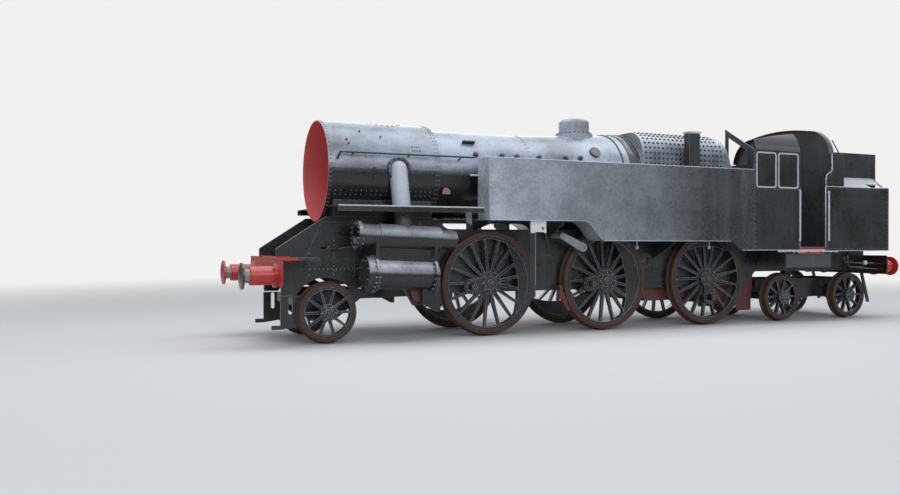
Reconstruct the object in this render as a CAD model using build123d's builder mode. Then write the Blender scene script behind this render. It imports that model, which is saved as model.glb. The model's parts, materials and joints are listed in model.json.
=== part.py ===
from build123d import *
from math import atan2, cos, pi, radians, sin, sqrt, tan
import os

os.makedirs("parts", exist_ok=True)

# A 2-6-4 side tank steam locomotive, stripped for repair.
# Millimetres. +X is forward (smokebox end), +Y the left side, +Z up.
# The origin is at the middle of the length over buffers, on the floor under the wheel flanges.

# Length, from the front buffer faces back
FRONT_OVERHANG_LENGTH = 1372
PONY_TO_DRIVER_LENGTH = 2794
DRIVER_SPACING_LENGTH = 2337
DRIVER_TO_BOGIE_LENGTH = 1905
BOGIE_WHEELBASE_LENGTH = 1854
REAR_OVERHANG_LENGTH = 1221
WHEELBASE_LENGTH = (
    PONY_TO_DRIVER_LENGTH + 2 * DRIVER_SPACING_LENGTH + DRIVER_TO_BOGIE_LENGTH + BOGIE_WHEELBASE_LENGTH
)
FRONT_FACE_X = (FRONT_OVERHANG_LENGTH + WHEELBASE_LENGTH + REAR_OVERHANG_LENGTH) / 2
REAR_FACE_X = -FRONT_FACE_X

# Axle places along the engine
PONY_X = FRONT_FACE_X - FRONT_OVERHANG_LENGTH
DRIVER_1_X = PONY_X - PONY_TO_DRIVER_LENGTH
DRIVER_2_X = DRIVER_1_X - DRIVER_SPACING_LENGTH
DRIVER_3_X = DRIVER_2_X - DRIVER_SPACING_LENGTH
BOGIE_FRONT_X = DRIVER_3_X - DRIVER_TO_BOGIE_LENGTH
BOGIE_REAR_X = BOGIE_FRONT_X - BOGIE_WHEELBASE_LENGTH
BOGIE_CENTRE_X = (BOGIE_FRONT_X + BOGIE_REAR_X) / 2

# Wheels
FLANGE_HEIGHT = 28
FLANGE_WIDTH = 32
FLANGE_CREST_WIDTH = 18
WHEEL_BACK_Y = 680
TYRE_WIDTH = 140
TYRE_DEPTH = 70
TRUCK_TYRE_DEPTH = 55
DRIVER_TREAD_R = 864
TRUCK_TREAD_R = 457
DRIVER_Z = DRIVER_TREAD_R + FLANGE_HEIGHT
TRUCK_Z = TRUCK_TREAD_R + FLANGE_HEIGHT
RIM_INSET_WIDTH = 12
DRIVER_RIM_DEPTH = 50
TRUCK_RIM_DEPTH = 40
DRIVER_SPOKES = 17
TRUCK_SPOKES = 10
SPOKE_INSET_WIDTH = 34
SPOKE_LAP_LENGTH = 12
DRIVER_SPOKE_FOOT_WIDTH = 54
DRIVER_SPOKE_TIP_WIDTH = 32
TRUCK_SPOKE_FOOT_WIDTH = 46
TRUCK_SPOKE_TIP_WIDTH = 30
DRIVER_HUB_R = 190
TRUCK_HUB_R = 130
HUB_WIDTH = 185
DRIVER_AXLE_R = 108
TRUCK_AXLE_R = 82
BEARING_GAP = 0.1
CRANK_THROW_R = 356
CRANK_BOSS_R = 130
CRANK_SEAT_R = 72
CRANK_PIN_R = 62
CRANK_PIN_LENGTH = 130
QUARTER_TURN_ANGLE = 90
CRANK_WEB_HALF_WIDTH = 110
MAIN_CRANK_ANGLE = -8
REAR_CRANK_ANGLE = -90
WEIGHT_INSET_WIDTH = 22
WEIGHT_EDGE_R = 1500
FRONT_WEIGHT_DEPTH = 190
MAIN_WEIGHT_DEPTH = 290
REAR_WEIGHT_DEPTH = 130

# Trucks
TRUCK_FRAME_Y = 500
TRUCK_PLATE_WIDTH = 28
TRUCK_FRAME_TOP_Z = 830
TRUCK_FRAME_BOTTOM_Z = 340
TRUCK_BEARING_HALF_LENGTH = 200
TRUCK_STAY_LENGTH = 60
TRUCK_STAY_HEIGHT = 150
PONY_PIVOT_X = PONY_X - 1900
PONY_TAIL_LENGTH = 620
PONY_NOSE_LENGTH = 500
PONY_NOSE_DROP_X = PONY_X + 260
PONY_NOSE_FOOT_X = PONY_X + 330
PONY_NOSE_TOP_Z = 745
PONY_TAIL_HEIGHT = 160
PONY_ARM_WIDTH = 60
PONY_NOSE_BOTTOM_Z = 600
PIVOT_EYE_R = 190
PIVOT_PIN_R = 110
PIVOT_EYE_HEIGHT = 110
PONY_PIVOT_BOTTOM_Z = 600
BOGIE_PIVOT_BOTTOM_Z = 560
BOGIE_NOSE_LENGTH = 400
BOGIE_RISE_HEIGHT = 110
BOGIE_CENTRE_LENGTH = 460
BOGIE_CENTRE_HEIGHT = 190
GUARD_Y = 665
GUARD_BACK_X = PONY_X + 400
GUARD_FRONT_X = PONY_X + 707
GUARD_TOE_X = PONY_X + 845
GUARD_FOOT_Z = 276
GUARD_TOE_BOTTOM_Z = 236
GUARD_TOE_TOP_Z = 300
GUARD_SLOT_LENGTH = 270
GUARD_SLOT_WIDTH = 60
GUARD_SLOT_Z = 600

# Buffer beams, buffers and draw gear
BUFFER_LENGTH = 560
FRONT_BEAM_X = FRONT_FACE_X - BUFFER_LENGTH
REAR_BEAM_X = REAR_FACE_X + BUFFER_LENGTH
BEAM_PLATE_THICKNESS = 32
BEAM_HALF_WIDTH = 1230
BEAM_BOTTOM_Z = 918
BEAM_TOP_Z = 1308
BEAM_CORNER_R = 40
BUFFER_Y = 870
BUFFER_Z = 1075
BUFFER_FLANGE_THICKNESS = 50
BUFFER_FLANGE_R = 180
BUFFER_HOUSING_LENGTH = 400
BUFFER_HOUSING_R = 140
BUFFER_RAM_R = 104
BUFFER_HEAD_R = 200
BUFFER_HEAD_DEPTH = 60
BUFFER_HEAD_RISE = 30
HOOK_Z = 1070
HOOK_PLATE_WIDTH = 50
HOOK_SHANK_HEIGHT = 90
HOOK_SHANK_LENGTH = 190
HOOK_BEAK_LENGTH = 110
HOOK_BEAK_HEIGHT = 130
HOOK_BEAK_WIDTH = 60
HOOK_HOLE_DEPTH = 110
HOOK_HOLE_R = 24

# Main frames
FRAME_OUTSIDE_Y = 661
FRAME_PLATE_THICKNESS = 32
FRAME_INSIDE_Y = FRAME_OUTSIDE_Y - FRAME_PLATE_THICKNESS
FRAME_FRONT_X = FRONT_BEAM_X - BEAM_PLATE_THICKNESS
FRAME_BACK_X = REAR_BEAM_X + BEAM_PLATE_THICKNESS
FRAME_NOSE_Z = 1475
FRAME_CHAMFER_LENGTH = 80
FRAME_CHAMFER_HEIGHT = 55
FRAME_TOP_FRONT_Z = 1985
FRAME_TOP_Z = 1800
FRAME_TOP_REAR_Z = 1410
FRAME_SETBACK_LENGTH = 80
FRAME_SETBACK_Z = 1200
FRAME_LEDGE_Z = 762
FRAME_ARCH_FOOT_Z = 850
FRAME_BOTTOM_Z = 735
FRAME_BOTTOM_REAR_Z = 1000
PONY_ARCH_R = 540
HORN_GAP_WIDTH = 290
HORN_TOP_HEIGHT = 190
AXLEBOX_TOP_HEIGHT = 150
HORN_STAY_HEIGHT = 36
HORN_STAY_LENGTH = 450
OVAL_HOLE_X = PONY_X + 22
OVAL_HOLE_Z = 1535
OVAL_HOLE_LENGTH = 160
OVAL_HOLE_HEIGHT = 124
RING_HOLE_X = DRIVER_2_X - 1000
RING_HOLE_Z = 1240
RING_HOLE_R = 75
RING_BOSS_R = 135
RING_BOSS_WIDTH = 12
DOUBLER_WIDTH = 10
DOUBLER_TOP_X = PONY_X + 62
DOUBLER_FRONT_X = PONY_X + 309
DOUBLER_BACK_X = PONY_X - 468
DOUBLER_TOP_Z = 1900
DOUBLER_SHOULDER_Z = 1354
REAR_GUARD_LENGTH = 190
REAR_GUARD_WIDTH = 70
REAR_GUARD_BOTTOM_Z = 300

# Front platform, saddle and smokebox
DECK_THICKNESS = 36
DECK_BACK_X = PONY_X + 240
SMOKEBOX_FRONT_X = DRIVER_1_X + 2786
SMOKEBOX_BACK_X = DRIVER_1_X + 896
BOILER_Z = 2745
SMOKEBOX_R = 825
SMOKEBOX_WALL_THICKNESS = 16
SMOKEBOX_RING_WIDTH = 40
CHIMNEY_X = DRIVER_1_X + 1640
CHIMNEY_HOLE_R = 250
SADDLE_FRONT_X = SMOKEBOX_FRONT_X - 120
SADDLE_BACK_X = SMOKEBOX_BACK_X + 100
SADDLE_FOOT_Z = 1500
SADDLE_HEIGHT = 480
BLAST_PIPE_R = 130
BLAST_CAP_R = 170
BLAST_CAP_HEIGHT = 60
BLAST_NOZZLE_R = 70
BLAST_NOZZLE_DEPTH = 200
BLAST_FLANGE_R = 200
BLAST_FLANGE_Z = BOILER_Z - 740
BLAST_TOP_Z = BOILER_Z - 150

# Boiler
BARREL_FRONT_R = 760
BARREL_BACK_R = 885
TAPER_START_X = DRIVER_1_X - 890
FIREBOX_FRONT_X = DRIVER_2_X - 790
FIREBOX_LENGTH = 2590
FIREBOX_BACK_X = FIREBOX_FRONT_X - FIREBOX_LENGTH
FIREBOX_HALF_WIDTH = 840
FIREBOX_BACK_BEND_Z = 1500
FIREBOX_BACK_SLOPE_LENGTH = 673
FIREBOX_TOP_Z = BOILER_Z + 895
FIREBOX_CORNER_R = 400
FIREBOX_FOOT_HALF_WIDTH = 600
FIREBOX_FLARE_TOP_Z = 2350
FIREBOX_FLARE_FOOT_Z = 1900
FIREBOX_BOTTOM_Z = 1100
DOME_X = DRIVER_2_X + 154
DOME_R = 285
DOME_EDGE_R = 70
DOME_HEIGHT = 284
DOME_FLANGE_R = 350
DOME_FLANGE_HEIGHT = 24
LIFTING_LUG_LENGTH = 230
LIFTING_LUG_HEIGHT = 70
LIFTING_LUG_THICKNESS = 24
LIFTING_LUG_ANGLE = 42
LIFTING_LUG_X = DRIVER_1_X + 285
CLACK_X = DRIVER_2_X + 150
CLACK_ANGLE = 33
CLACK_PAD_R = 105
CLACK_PAD_DEPTH = 30
SIDE_FLANGE_X = DRIVER_1_X + 760
SIDE_FLANGE_ANGLE = -25
SIDE_FLANGE_R = 72
SIDE_FLANGE_DEPTH = 60
ASHPAN_HALF_WIDTH = 560
ASHPAN_FRONT_BOTTOM_Z = 480
ASHPAN_REAR_BOTTOM_Z = 370
ASHPAN_ARCH_Z = 1040
ASHPAN_LIP_HEIGHT = 60
ASHPAN_FRONT_SLOPE_LENGTH = 250
ASHPAN_BACK_X = FIREBOX_BACK_X - 340
ASHPAN_REAR_SLOPE_LENGTH = 60
ASHPAN_ARCH_HALF_LENGTH = 200
ASHPAN_WELL_HALF_LENGTH = 400
ASHPAN_FLAP_FRONT_X = FIREBOX_BACK_X + 100
ASHPAN_FLAP_BOTTOM_Z = 225
ASHPAN_FLAP_THICKNESS = 14

# Cylinders, lying on a slope that points at the middle driving axle
CYLINDER_X = DRIVER_1_X + 1600
CYLINDER_Y = 1040
CYLINDER_Z = 1062
CYLINDER_TILT = atan2(CYLINDER_Z - DRIVER_Z, CYLINDER_X - DRIVER_2_X)
CYLINDER_R = 235
CYLINDER_BACK_LENGTH = 460
CYLINDER_FRONT_LENGTH = 560
CYLINDER_FLANGE_R = 296
CYLINDER_FLANGE_THICKNESS = 40
CYLINDER_COVER_R = 268
CYLINDER_COVER_DEPTH = 120
CYLINDER_GLAND_R = 180
CYLINDER_GLAND_DEPTH = 70
FLANGE_NECK_HALF_WIDTH = 180
VALVE_RISE_HEIGHT = 588
VALVE_R = 203
VALVE_BACK_LENGTH = 540
VALVE_FRONT_LENGTH = 490
VALVE_NECK_R = 188
VALVE_NECK_LENGTH = 300
VALVE_FLANGE_R = 235
VALVE_FLANGE_THICKNESS = 60
VALVE_BORE_R = 130
VALVE_BORE_DEPTH = 110
VALVE_TAIL_R = 155
VALVE_TAIL_LENGTH = 280
CYLINDER_WEB_REACH_Y = 1130
CYLINDER_FOOT_Y = 1110
CYLINDER_FOOT_THICKNESS = 60
CYLINDER_FOOT_FRONT_X = DRIVER_1_X + 1336
CYLINDER_FOOT_BACK_X = DRIVER_1_X + 1025
CYLINDER_FOOT_BOTTOM_Z = 470
CYLINDER_FOOT_SHOULDER_Z = 600
DRAIN_BRACKET_Y = 970
DRAIN_BRACKET_THICKNESS = 20
DRAIN_BRACKET_FRONT_X = DRIVER_1_X + 1606
DRAIN_BRACKET_BACK_X = DRIVER_1_X + 1300
DRAIN_BRACKET_BOTTOM_Z = 570
STEAM_PIPE_R = 146
STEAM_PIPE_TOP_X = DRIVER_1_X + 1632
STEAM_PIPE_TOP_Y = 800
STEAM_PIPE_TOP_Z = 2750
STEAM_PIPE_FOOT_X = DRIVER_1_X + 1610
STEAM_PIPE_FOOT_Z = CYLINDER_Z + VALVE_RISE_HEIGHT

# Running plates
RUNNING_Z = BOILER_Z - 596
RUNNING_PLATE_THICKNESS = 12
RUNNING_VALANCE_HEIGHT = 95
RUNNING_EDGE_Y = 1300
RUNNING_FRONT_X = SMOKEBOX_FRONT_X - 20
RUNNING_BACK_X = DRIVER_1_X + 340
RUNNING_PIPE_GAP = 14
RUNNING_STOP_FRONT_X = SMOKEBOX_FRONT_X - 42
RUNNING_STOP_LENGTH = 290
RUNNING_STOP_WIDTH = 110

# Side tanks, cab and bunker
SIDE_Y = 1330
SHEET_THICKNESS = 16
TANK_INNER_Y = 900
TANK_FRONT_X = DRIVER_1_X + 256
TANK_TOP_Z = 2960
TANK_BOTTOM_FRONT_Z = 1940
TANK_BOTTOM_Z = 1602
TANK_STEP_FRONT_X = DRIVER_1_X - 1626
TANK_STEP_BACK_X = DRIVER_1_X - 1911
TANK_STEP_R = 270
TANK_REAR_STEP_FRONT_X = DRIVER_3_X - 130
TANK_REAR_STEP_BACK_X = DRIVER_3_X - 350
TANK_REAR_STEP_R = 200
CAB_BOTTOM_Z = 1430
CAB_FRONT_X = DRIVER_3_X - 670
DOOR_FRONT_X = CAB_FRONT_X - 1163
DOOR_WIDTH = 690
DOOR_BACK_X = DOOR_FRONT_X - DOOR_WIDTH
CAB_BACK_X = DOOR_BACK_X - 190
CANTRAIL_Z = 3350
FRAME_RISE_FRONT_X = DRIVER_3_X - 1070
FRAME_RISE_BACK_X = DRIVER_3_X - 1340
FRAME_CAB_RAMP_LENGTH = 260
FRAME_DROP_LENGTH = 300
TANK_BRACKET_WIDTH = 20
TANK_BRACKET_EDGE_HEIGHT = 60
TANK_BRACKET_HEIGHT = 330
TANK_BRACKET_FRONT_HEIGHT = 165
TANK_BRACKET_REACH_Y = 1290
FRONT_TANK_BRACKET_X = TANK_FRONT_X - 30
MIDDLE_TANK_BRACKET_X = DRIVER_1_X - 1160
REAR_TANK_BRACKET_X = DRIVER_2_X - 1160
WINDOW_BOTTOM_Z = 2650
WINDOW_HEIGHT = 625
WINDOW_CORNER_R = 34
FRONT_WINDOW_X = CAB_FRONT_X - 295
FRONT_WINDOW_WIDTH = 450
REAR_WINDOW_X = CAB_FRONT_X - 855
REAR_WINDOW_WIDTH = 470
WINDOW_FRAME_WIDTH = 30
WINDOW_FRAME_DEPTH = 10
SPECTACLE_SET_LENGTH = 60
SPECTACLE_INNER_Y = 620
SPECTACLE_INNER_HEIGHT = 840
SPECTACLE_POST_WIDTH = 80
SPECTACLE_SILL_HEIGHT = 110
SPECTACLE_HEAD_DEPTH = 120
FLOOR_Z = 1458
FLOOR_THICKNESS = 30
SILL_BOTTOM_Z = 1353
SILL_WIDTH = 70
SILL_OUTER_Y = 1300
ROOF_CROWN_RISE = 590
ROOF_SHOULDER_RISE = 510
ROOF_SHOULDER_Y = 800
ROOF_SIDE_R = 560
ROOF_SHEET_THICKNESS = 14
ROOF_FRONT_X = CAB_FRONT_X - 40
ROOF_BACK_X = CAB_BACK_X - 30
ROOF_NOTCH_FRONT_Y = 1280
ROOF_NOTCH_BACK_Y = 1150
ROOF_REAR_BAND_LENGTH = 130
BUNKER_BACK_X = REAR_BEAM_X + 110
BUNKER_BOTTOM_Z = FRAME_TOP_REAR_Z
BUNKER_TOP_Z = 2690
COAL_PLATE_Y = 1115
COAL_PLATE_FRONT_X = CAB_BACK_X - 310
COAL_PLATE_BACK_X = BUNKER_BACK_X + 130
COAL_SHOULDER_HEIGHT = 180
COAL_PLATE_HEIGHT = 720
WING_SETBACK_LENGTH = 172
WING_CURVE_LENGTH = 190
WING_CURVE_FOOT_HEIGHT = 140
WING_CURVE_TOP_HEIGHT = 350
SHOULDER_HOLE_BACK_X = BUNKER_BACK_X + 70
SHOULDER_HOLE_LENGTH = 540
SHOULDER_HOLE_INNER_Y = 1222
SHOULDER_HOLE_OUTER_Y = 1316
SHOULDER_HOLE_LEAN_LENGTH = 120
STEP_PANEL_FRONT_X = DOOR_FRONT_X + 278
STEP_PANEL_BACK_X = DOOR_BACK_X - 237
STEP_PANEL_Y = 1250
STEP_PANEL_BOTTOM_Z = 1090
TREAD_DEPTH = 190
TREAD_THICKNESS = 16

# Handrails, motion brackets and fittings
HANDRAIL_Z = 2990
HANDRAIL_Y = 880
HANDRAIL_R = 17
HANDRAIL_KNOB_R = 13
HANDRAIL_FRONT_X = SMOKEBOX_FRONT_X - 180
HANDRAIL_DROP_LENGTH = 45
HANDRAIL_DROP_HEIGHT = 110
HANDRAIL_DROP_WIDTH = 50
HANDRAIL_BACK_X = TANK_FRONT_X + 60
HANDRAIL_KNOB_1_X = SMOKEBOX_FRONT_X - 391
HANDRAIL_KNOB_2_X = SMOKEBOX_FRONT_X - 1327
HANDRAIL_KNOB_3_X = TANK_FRONT_X + 283
DOOR_RAIL_Y = SIDE_Y + 45
DOOR_RAIL_BOTTOM_Z = 1620
DOOR_RAIL_TOP_Z = 2585
DOOR_RAIL_INSET_LENGTH = 40
MOTION_Y = 1250
MOTION_PLATE_WIDTH = 24
MOTION_PLATE_FRONT_X = DRIVER_1_X - 570
MOTION_PLATE_LENGTH = 280
MOTION_PLATE_BOTTOM_Z = 1750
MOTION_HOLE_R = 24
MOTION_HOLE_INSET_LENGTH = 65
LINK_WIDTH = 115
LINK_FRONT_X = DRIVER_1_X - 530
LINK_BEND_Z = 740
LINK_BEND_LENGTH = 260
LINK_BEND_HEIGHT = 190
LINK_FOOT_LENGTH = 70
LEG_WIDTH = 36
LEG_LEAN_LENGTH = 90
LEG_BOTTOM_Z = 1350
LEG_BAR_HEIGHT = 26
ARM_Y = 1010
ARM_PLATE_WIDTH = 40
ARM_SHAFT_R = 40
ARM_SMALL_R = 52
ARM_BIG_R = 78
ARM_TOP_X = DRIVER_2_X + 1015
ARM_TOP_Z = 1690
ARM_FOOT_X = DRIVER_2_X + 600
ARM_FOOT_Z = 1490
DUCT_X = FIREBOX_FRONT_X - 973
DUCT_WIDTH = 250
DUCT_DEPTH = 150
DUCT_TOP_Z = TANK_TOP_Z + 650
DUCT_CAP_WIDTH = 290
DUCT_CAP_HEIGHT = 24
BRAKE_BLOCK_Y = 770
BRAKE_BLOCK_WIDTH = 84
BRAKE_BLOCK_GAP = 14
BRAKE_BLOCK_THICKNESS = 70
BRAKE_BLOCK_TOP_Z = 700
BRAKE_BLOCK_BOTTOM_Z = 380
BRAKE_HANGER_WIDTH = 70
BRAKE_HANGER_THICKNESS = 24
BRAKE_HANGER_LAP_HEIGHT = 120
BRAKE_PIVOT_R = 30
BRAKE_PIVOT_Z = 790


def wheel_plane(x, y, z):
    """A sketch plane square to an axle, drawn as it is seen from the left side."""
    return Plane(origin=(x, y, z), x_dir=(1, 0, 0), z_dir=(0, -1, 0))


def side_plane(y):
    """A sketch plane along the engine at one distance from its centre line."""
    return Plane(origin=(0, y, 0), x_dir=(1, 0, 0), z_dir=(0, -1, 0))


def barrel_plane(x, side, angle):
    """A sketch plane facing out from the boiler's centre line, at an angle above the horizontal."""
    out = (0, side * cos(radians(angle)), sin(radians(angle)))
    return Plane(origin=(x, 0, BOILER_Z), x_dir=(1, 0, 0), z_dir=out)


def bore_plane(along):
    """A sketch plane square to the cylinders' slope, so far ahead of the cylinder's middle."""
    run = cos(CYLINDER_TILT)
    rise = sin(CYLINDER_TILT)
    place = (CYLINDER_X + along * run, 0, CYLINDER_Z + along * rise)
    return Plane(origin=place, x_dir=(0, 1, 0), z_dir=(run, 0, rise))


# Main frames: two plates with horn gaps for the axleboxes, joined by stretchers
frame_outline = [
    (FRAME_FRONT_X, FRAME_SETBACK_Z),
    (FRAME_FRONT_X, FRAME_NOSE_Z),
    (FRAME_FRONT_X - FRAME_CHAMFER_LENGTH, FRAME_NOSE_Z + FRAME_CHAMFER_HEIGHT),
    (SMOKEBOX_FRONT_X, FRAME_TOP_FRONT_Z),
    (SADDLE_BACK_X, FRAME_TOP_FRONT_Z),
    (SADDLE_BACK_X - FRAME_DROP_LENGTH, FRAME_TOP_Z),
    (FIREBOX_BACK_X + FRAME_CAB_RAMP_LENGTH, FRAME_TOP_Z),
    (FIREBOX_BACK_X, FRAME_TOP_REAR_Z),
    (FRAME_BACK_X, FRAME_TOP_REAR_Z),
    (FRAME_BACK_X, FRAME_BOTTOM_REAR_Z),
    (FRAME_RISE_BACK_X, FRAME_BOTTOM_REAR_Z),
    (FRAME_RISE_FRONT_X, FRAME_BOTTOM_Z),
    (CYLINDER_FOOT_BACK_X, FRAME_BOTTOM_Z),
    (CYLINDER_FOOT_FRONT_X, FRAME_ARCH_FOOT_Z),
    (PONY_X, FRAME_ARCH_FOOT_Z),
    (PONY_X, FRAME_LEDGE_Z),
    (FRAME_FRONT_X - FRAME_SETBACK_LENGTH, FRAME_LEDGE_Z),
    (FRAME_FRONT_X - FRAME_SETBACK_LENGTH, FRAME_SETBACK_Z),
]
rear_guard_outline = [
    (FRAME_BACK_X, FRAME_BOTTOM_REAR_Z),
    (FRAME_BACK_X + REAR_GUARD_WIDTH, FRAME_BOTTOM_REAR_Z),
    (FRAME_BACK_X + REAR_GUARD_WIDTH, BEAM_BOTTOM_Z),
    (FRAME_BACK_X + REAR_GUARD_WIDTH - REAR_GUARD_LENGTH, REAR_GUARD_BOTTOM_Z),
    (FRAME_BACK_X - REAR_GUARD_LENGTH, REAR_GUARD_BOTTOM_Z),
    (FRAME_BACK_X, BEAM_BOTTOM_Z),
]
FRONT_STRETCHER_LENGTH = 300
FRONT_STRETCHER_BOTTOM_Z = 1040
FRONT_STRETCHER_TOP_Z = 1240
PIVOT_STRETCHER_LENGTH = 260
PIVOT_STRETCHER_BOTTOM_Z = 880
PIVOT_STRETCHER_TOP_Z = 1300
MOTION_STRETCHER_X = DRIVER_1_X - 1090
FIREBOX_STRETCHER_X = DRIVER_2_X - 740
PLATE_STRETCHER_LENGTH = 60
PLATE_STRETCHER_BOTTOM_Z = 950
PLATE_STRETCHER_TOP_Z = 1500
BOGIE_STRETCHER_LENGTH = 620
REAR_STRETCHER_TOP_Z = 1330
# stretcher columns: middle X, length along the engine, bottom, top
STRETCHERS = [
    (
        FRAME_FRONT_X - FRAME_SETBACK_LENGTH - FRONT_STRETCHER_LENGTH / 2,
        FRONT_STRETCHER_LENGTH,
        FRONT_STRETCHER_BOTTOM_Z,
        FRONT_STRETCHER_TOP_Z,
    ),
    (PONY_PIVOT_X, PIVOT_STRETCHER_LENGTH, PIVOT_STRETCHER_BOTTOM_Z, PIVOT_STRETCHER_TOP_Z),
    (MOTION_STRETCHER_X, PLATE_STRETCHER_LENGTH, PLATE_STRETCHER_BOTTOM_Z, PLATE_STRETCHER_TOP_Z),
    (FIREBOX_STRETCHER_X, PLATE_STRETCHER_LENGTH, PLATE_STRETCHER_BOTTOM_Z, PLATE_STRETCHER_TOP_Z),
    (BOGIE_CENTRE_X, BOGIE_STRETCHER_LENGTH, FRAME_BOTTOM_REAR_Z, REAR_STRETCHER_TOP_Z),
    (FRAME_BACK_X + FRONT_STRETCHER_LENGTH / 2, FRONT_STRETCHER_LENGTH, FRAME_BOTTOM_REAR_Z, REAR_STRETCHER_TOP_Z),
]
horn_height = DRIVER_Z - FRAME_BOTTOM_Z + HORN_TOP_HEIGHT
with BuildPart() as main_frames:
    for y in (FRAME_OUTSIDE_Y, -FRAME_INSIDE_Y):
        with BuildSketch(side_plane(y)):
            with BuildLine():
                Polyline(*frame_outline, close=True)
            make_face()
            with BuildLine():
                Polyline(*rear_guard_outline, close=True)
            make_face()
            with Locations(*[(axle_x, FRAME_BOTTOM_Z) for axle_x in (DRIVER_1_X, DRIVER_2_X, DRIVER_3_X)]):
                Rectangle(HORN_GAP_WIDTH, horn_height, align=(Align.CENTER, Align.MIN), mode=Mode.SUBTRACT)
            with Locations((PONY_X, TRUCK_Z)):
                Circle(PONY_ARCH_R, mode=Mode.SUBTRACT)
            with Locations((OVAL_HOLE_X, OVAL_HOLE_Z)):
                SlotOverall(OVAL_HOLE_LENGTH, OVAL_HOLE_HEIGHT, mode=Mode.SUBTRACT)
            with Locations((RING_HOLE_X, RING_HOLE_Z)):
                Circle(RING_HOLE_R, mode=Mode.SUBTRACT)
        extrude(amount=FRAME_PLATE_THICKNESS)
    for y in (FRAME_OUTSIDE_Y + DOUBLER_WIDTH, -FRAME_OUTSIDE_Y):
        with BuildSketch(side_plane(y)):
            with BuildLine():
                Polyline(
                    (DOUBLER_TOP_X, DOUBLER_TOP_Z),
                    (DOUBLER_FRONT_X, DOUBLER_SHOULDER_Z),
                    (DOUBLER_FRONT_X, FRAME_ARCH_FOOT_Z),
                    (DOUBLER_BACK_X, FRAME_ARCH_FOOT_Z),
                    (DOUBLER_BACK_X, DOUBLER_TOP_Z),
                    close=True,
                )
            make_face()
            with Locations((PONY_X, TRUCK_Z)):
                Circle(PONY_ARCH_R, mode=Mode.SUBTRACT)
            with Locations((OVAL_HOLE_X, OVAL_HOLE_Z)):
                SlotOverall(OVAL_HOLE_LENGTH, OVAL_HOLE_HEIGHT, mode=Mode.SUBTRACT)
        extrude(amount=DOUBLER_WIDTH)
    for y in (FRAME_OUTSIDE_Y + RING_BOSS_WIDTH, -FRAME_OUTSIDE_Y):
        with BuildSketch(side_plane(y)):
            with Locations((RING_HOLE_X, RING_HOLE_Z)):
                Circle(RING_BOSS_R)
                Circle(RING_HOLE_R, mode=Mode.SUBTRACT)
        extrude(amount=RING_BOSS_WIDTH)
    for x, length, bottom, top in STRETCHERS:
        with Locations((x, 0, bottom)):
            Box(length, 2 * FRAME_INSIDE_Y, top - bottom, align=(Align.CENTER, Align.CENTER, Align.MIN))
    for x, bottom, top in (
        (PONY_PIVOT_X, PONY_PIVOT_BOTTOM_Z, PIVOT_STRETCHER_TOP_Z),
        (BOGIE_CENTRE_X, BOGIE_PIVOT_BOTTOM_Z, REAR_STRETCHER_TOP_Z),
    ):
        with Locations((x, 0, bottom)):
            Cylinder(PIVOT_PIN_R, top - bottom, align=(Align.CENTER, Align.CENTER, Align.MIN))
main_frames.part.label = "main_frames"
export_step(main_frames.part, "parts/main_frames.step")

# Axleboxes: a block in each horn gap, bored for the journal, with a stay across its foot
with BuildPart() as driver_axleboxes:
    for axle_x in (DRIVER_1_X, DRIVER_2_X, DRIVER_3_X):
        for y in (FRAME_OUTSIDE_Y, -FRAME_INSIDE_Y):
            with BuildSketch(wheel_plane(axle_x, y, DRIVER_Z)):
                with Locations((0, FRAME_BOTTOM_Z - DRIVER_Z)):
                    box_height = DRIVER_Z - FRAME_BOTTOM_Z + AXLEBOX_TOP_HEIGHT
                    Rectangle(HORN_GAP_WIDTH, box_height, align=(Align.CENTER, Align.MIN))
                    Rectangle(HORN_STAY_LENGTH, HORN_STAY_HEIGHT, align=(Align.CENTER, Align.MAX))
                Circle(DRIVER_AXLE_R + BEARING_GAP, mode=Mode.SUBTRACT)
            extrude(amount=FRAME_PLATE_THICKNESS)
driver_axleboxes.part.label = "driver_axleboxes"
export_step(driver_axleboxes.part, "parts/driver_axleboxes.step")

# Buffer beams: flat plates across both ends
for name, x in (("front_beam", FRONT_BEAM_X - BEAM_PLATE_THICKNESS), ("rear_beam", REAR_BEAM_X)):
    with BuildPart() as beam:
        with BuildSketch(Plane.YZ.offset(x)):
            with Locations((0, (BEAM_BOTTOM_Z + BEAM_TOP_Z) / 2)):
                RectangleRounded(2 * BEAM_HALF_WIDTH, BEAM_TOP_Z - BEAM_BOTTOM_Z, BEAM_CORNER_R)
        extrude(amount=BEAM_PLATE_THICKNESS)
    beam.part.label = name
    export_step(beam.part, f"parts/{name}.step")

# Buffers: a plain round housing on a flange, its ram out, and a head domed to one radius
head_r = (BUFFER_HEAD_R**2 + BUFFER_HEAD_RISE**2) / (2 * BUFFER_HEAD_RISE)
head_half_rise = BUFFER_LENGTH - head_r + sqrt(head_r**2 - (BUFFER_HEAD_R / 2) ** 2)
with BuildPart() as forward_buffer:
    with BuildSketch(Plane.XY.offset(BUFFER_Z)):
        with BuildLine():
            Polyline(
                (BUFFER_LENGTH, 0),
                (0, 0),
                (0, BUFFER_FLANGE_R),
                (BUFFER_FLANGE_THICKNESS, BUFFER_FLANGE_R),
                (BUFFER_FLANGE_THICKNESS, BUFFER_HOUSING_R),
                (BUFFER_HOUSING_LENGTH, BUFFER_HOUSING_R),
                (BUFFER_HOUSING_LENGTH, BUFFER_RAM_R),
                (BUFFER_LENGTH - BUFFER_HEAD_DEPTH, BUFFER_RAM_R),
                (BUFFER_LENGTH - BUFFER_HEAD_DEPTH, BUFFER_HEAD_R),
                (BUFFER_LENGTH - BUFFER_HEAD_RISE, BUFFER_HEAD_R),
            )
            ThreePointArc(
                (BUFFER_LENGTH - BUFFER_HEAD_RISE, BUFFER_HEAD_R),
                (head_half_rise, BUFFER_HEAD_R / 2),
                (BUFFER_LENGTH, 0),
            )
        make_face()
    revolve(axis=Axis((0, 0, BUFFER_Z), (1, 0, 0)))
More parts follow.
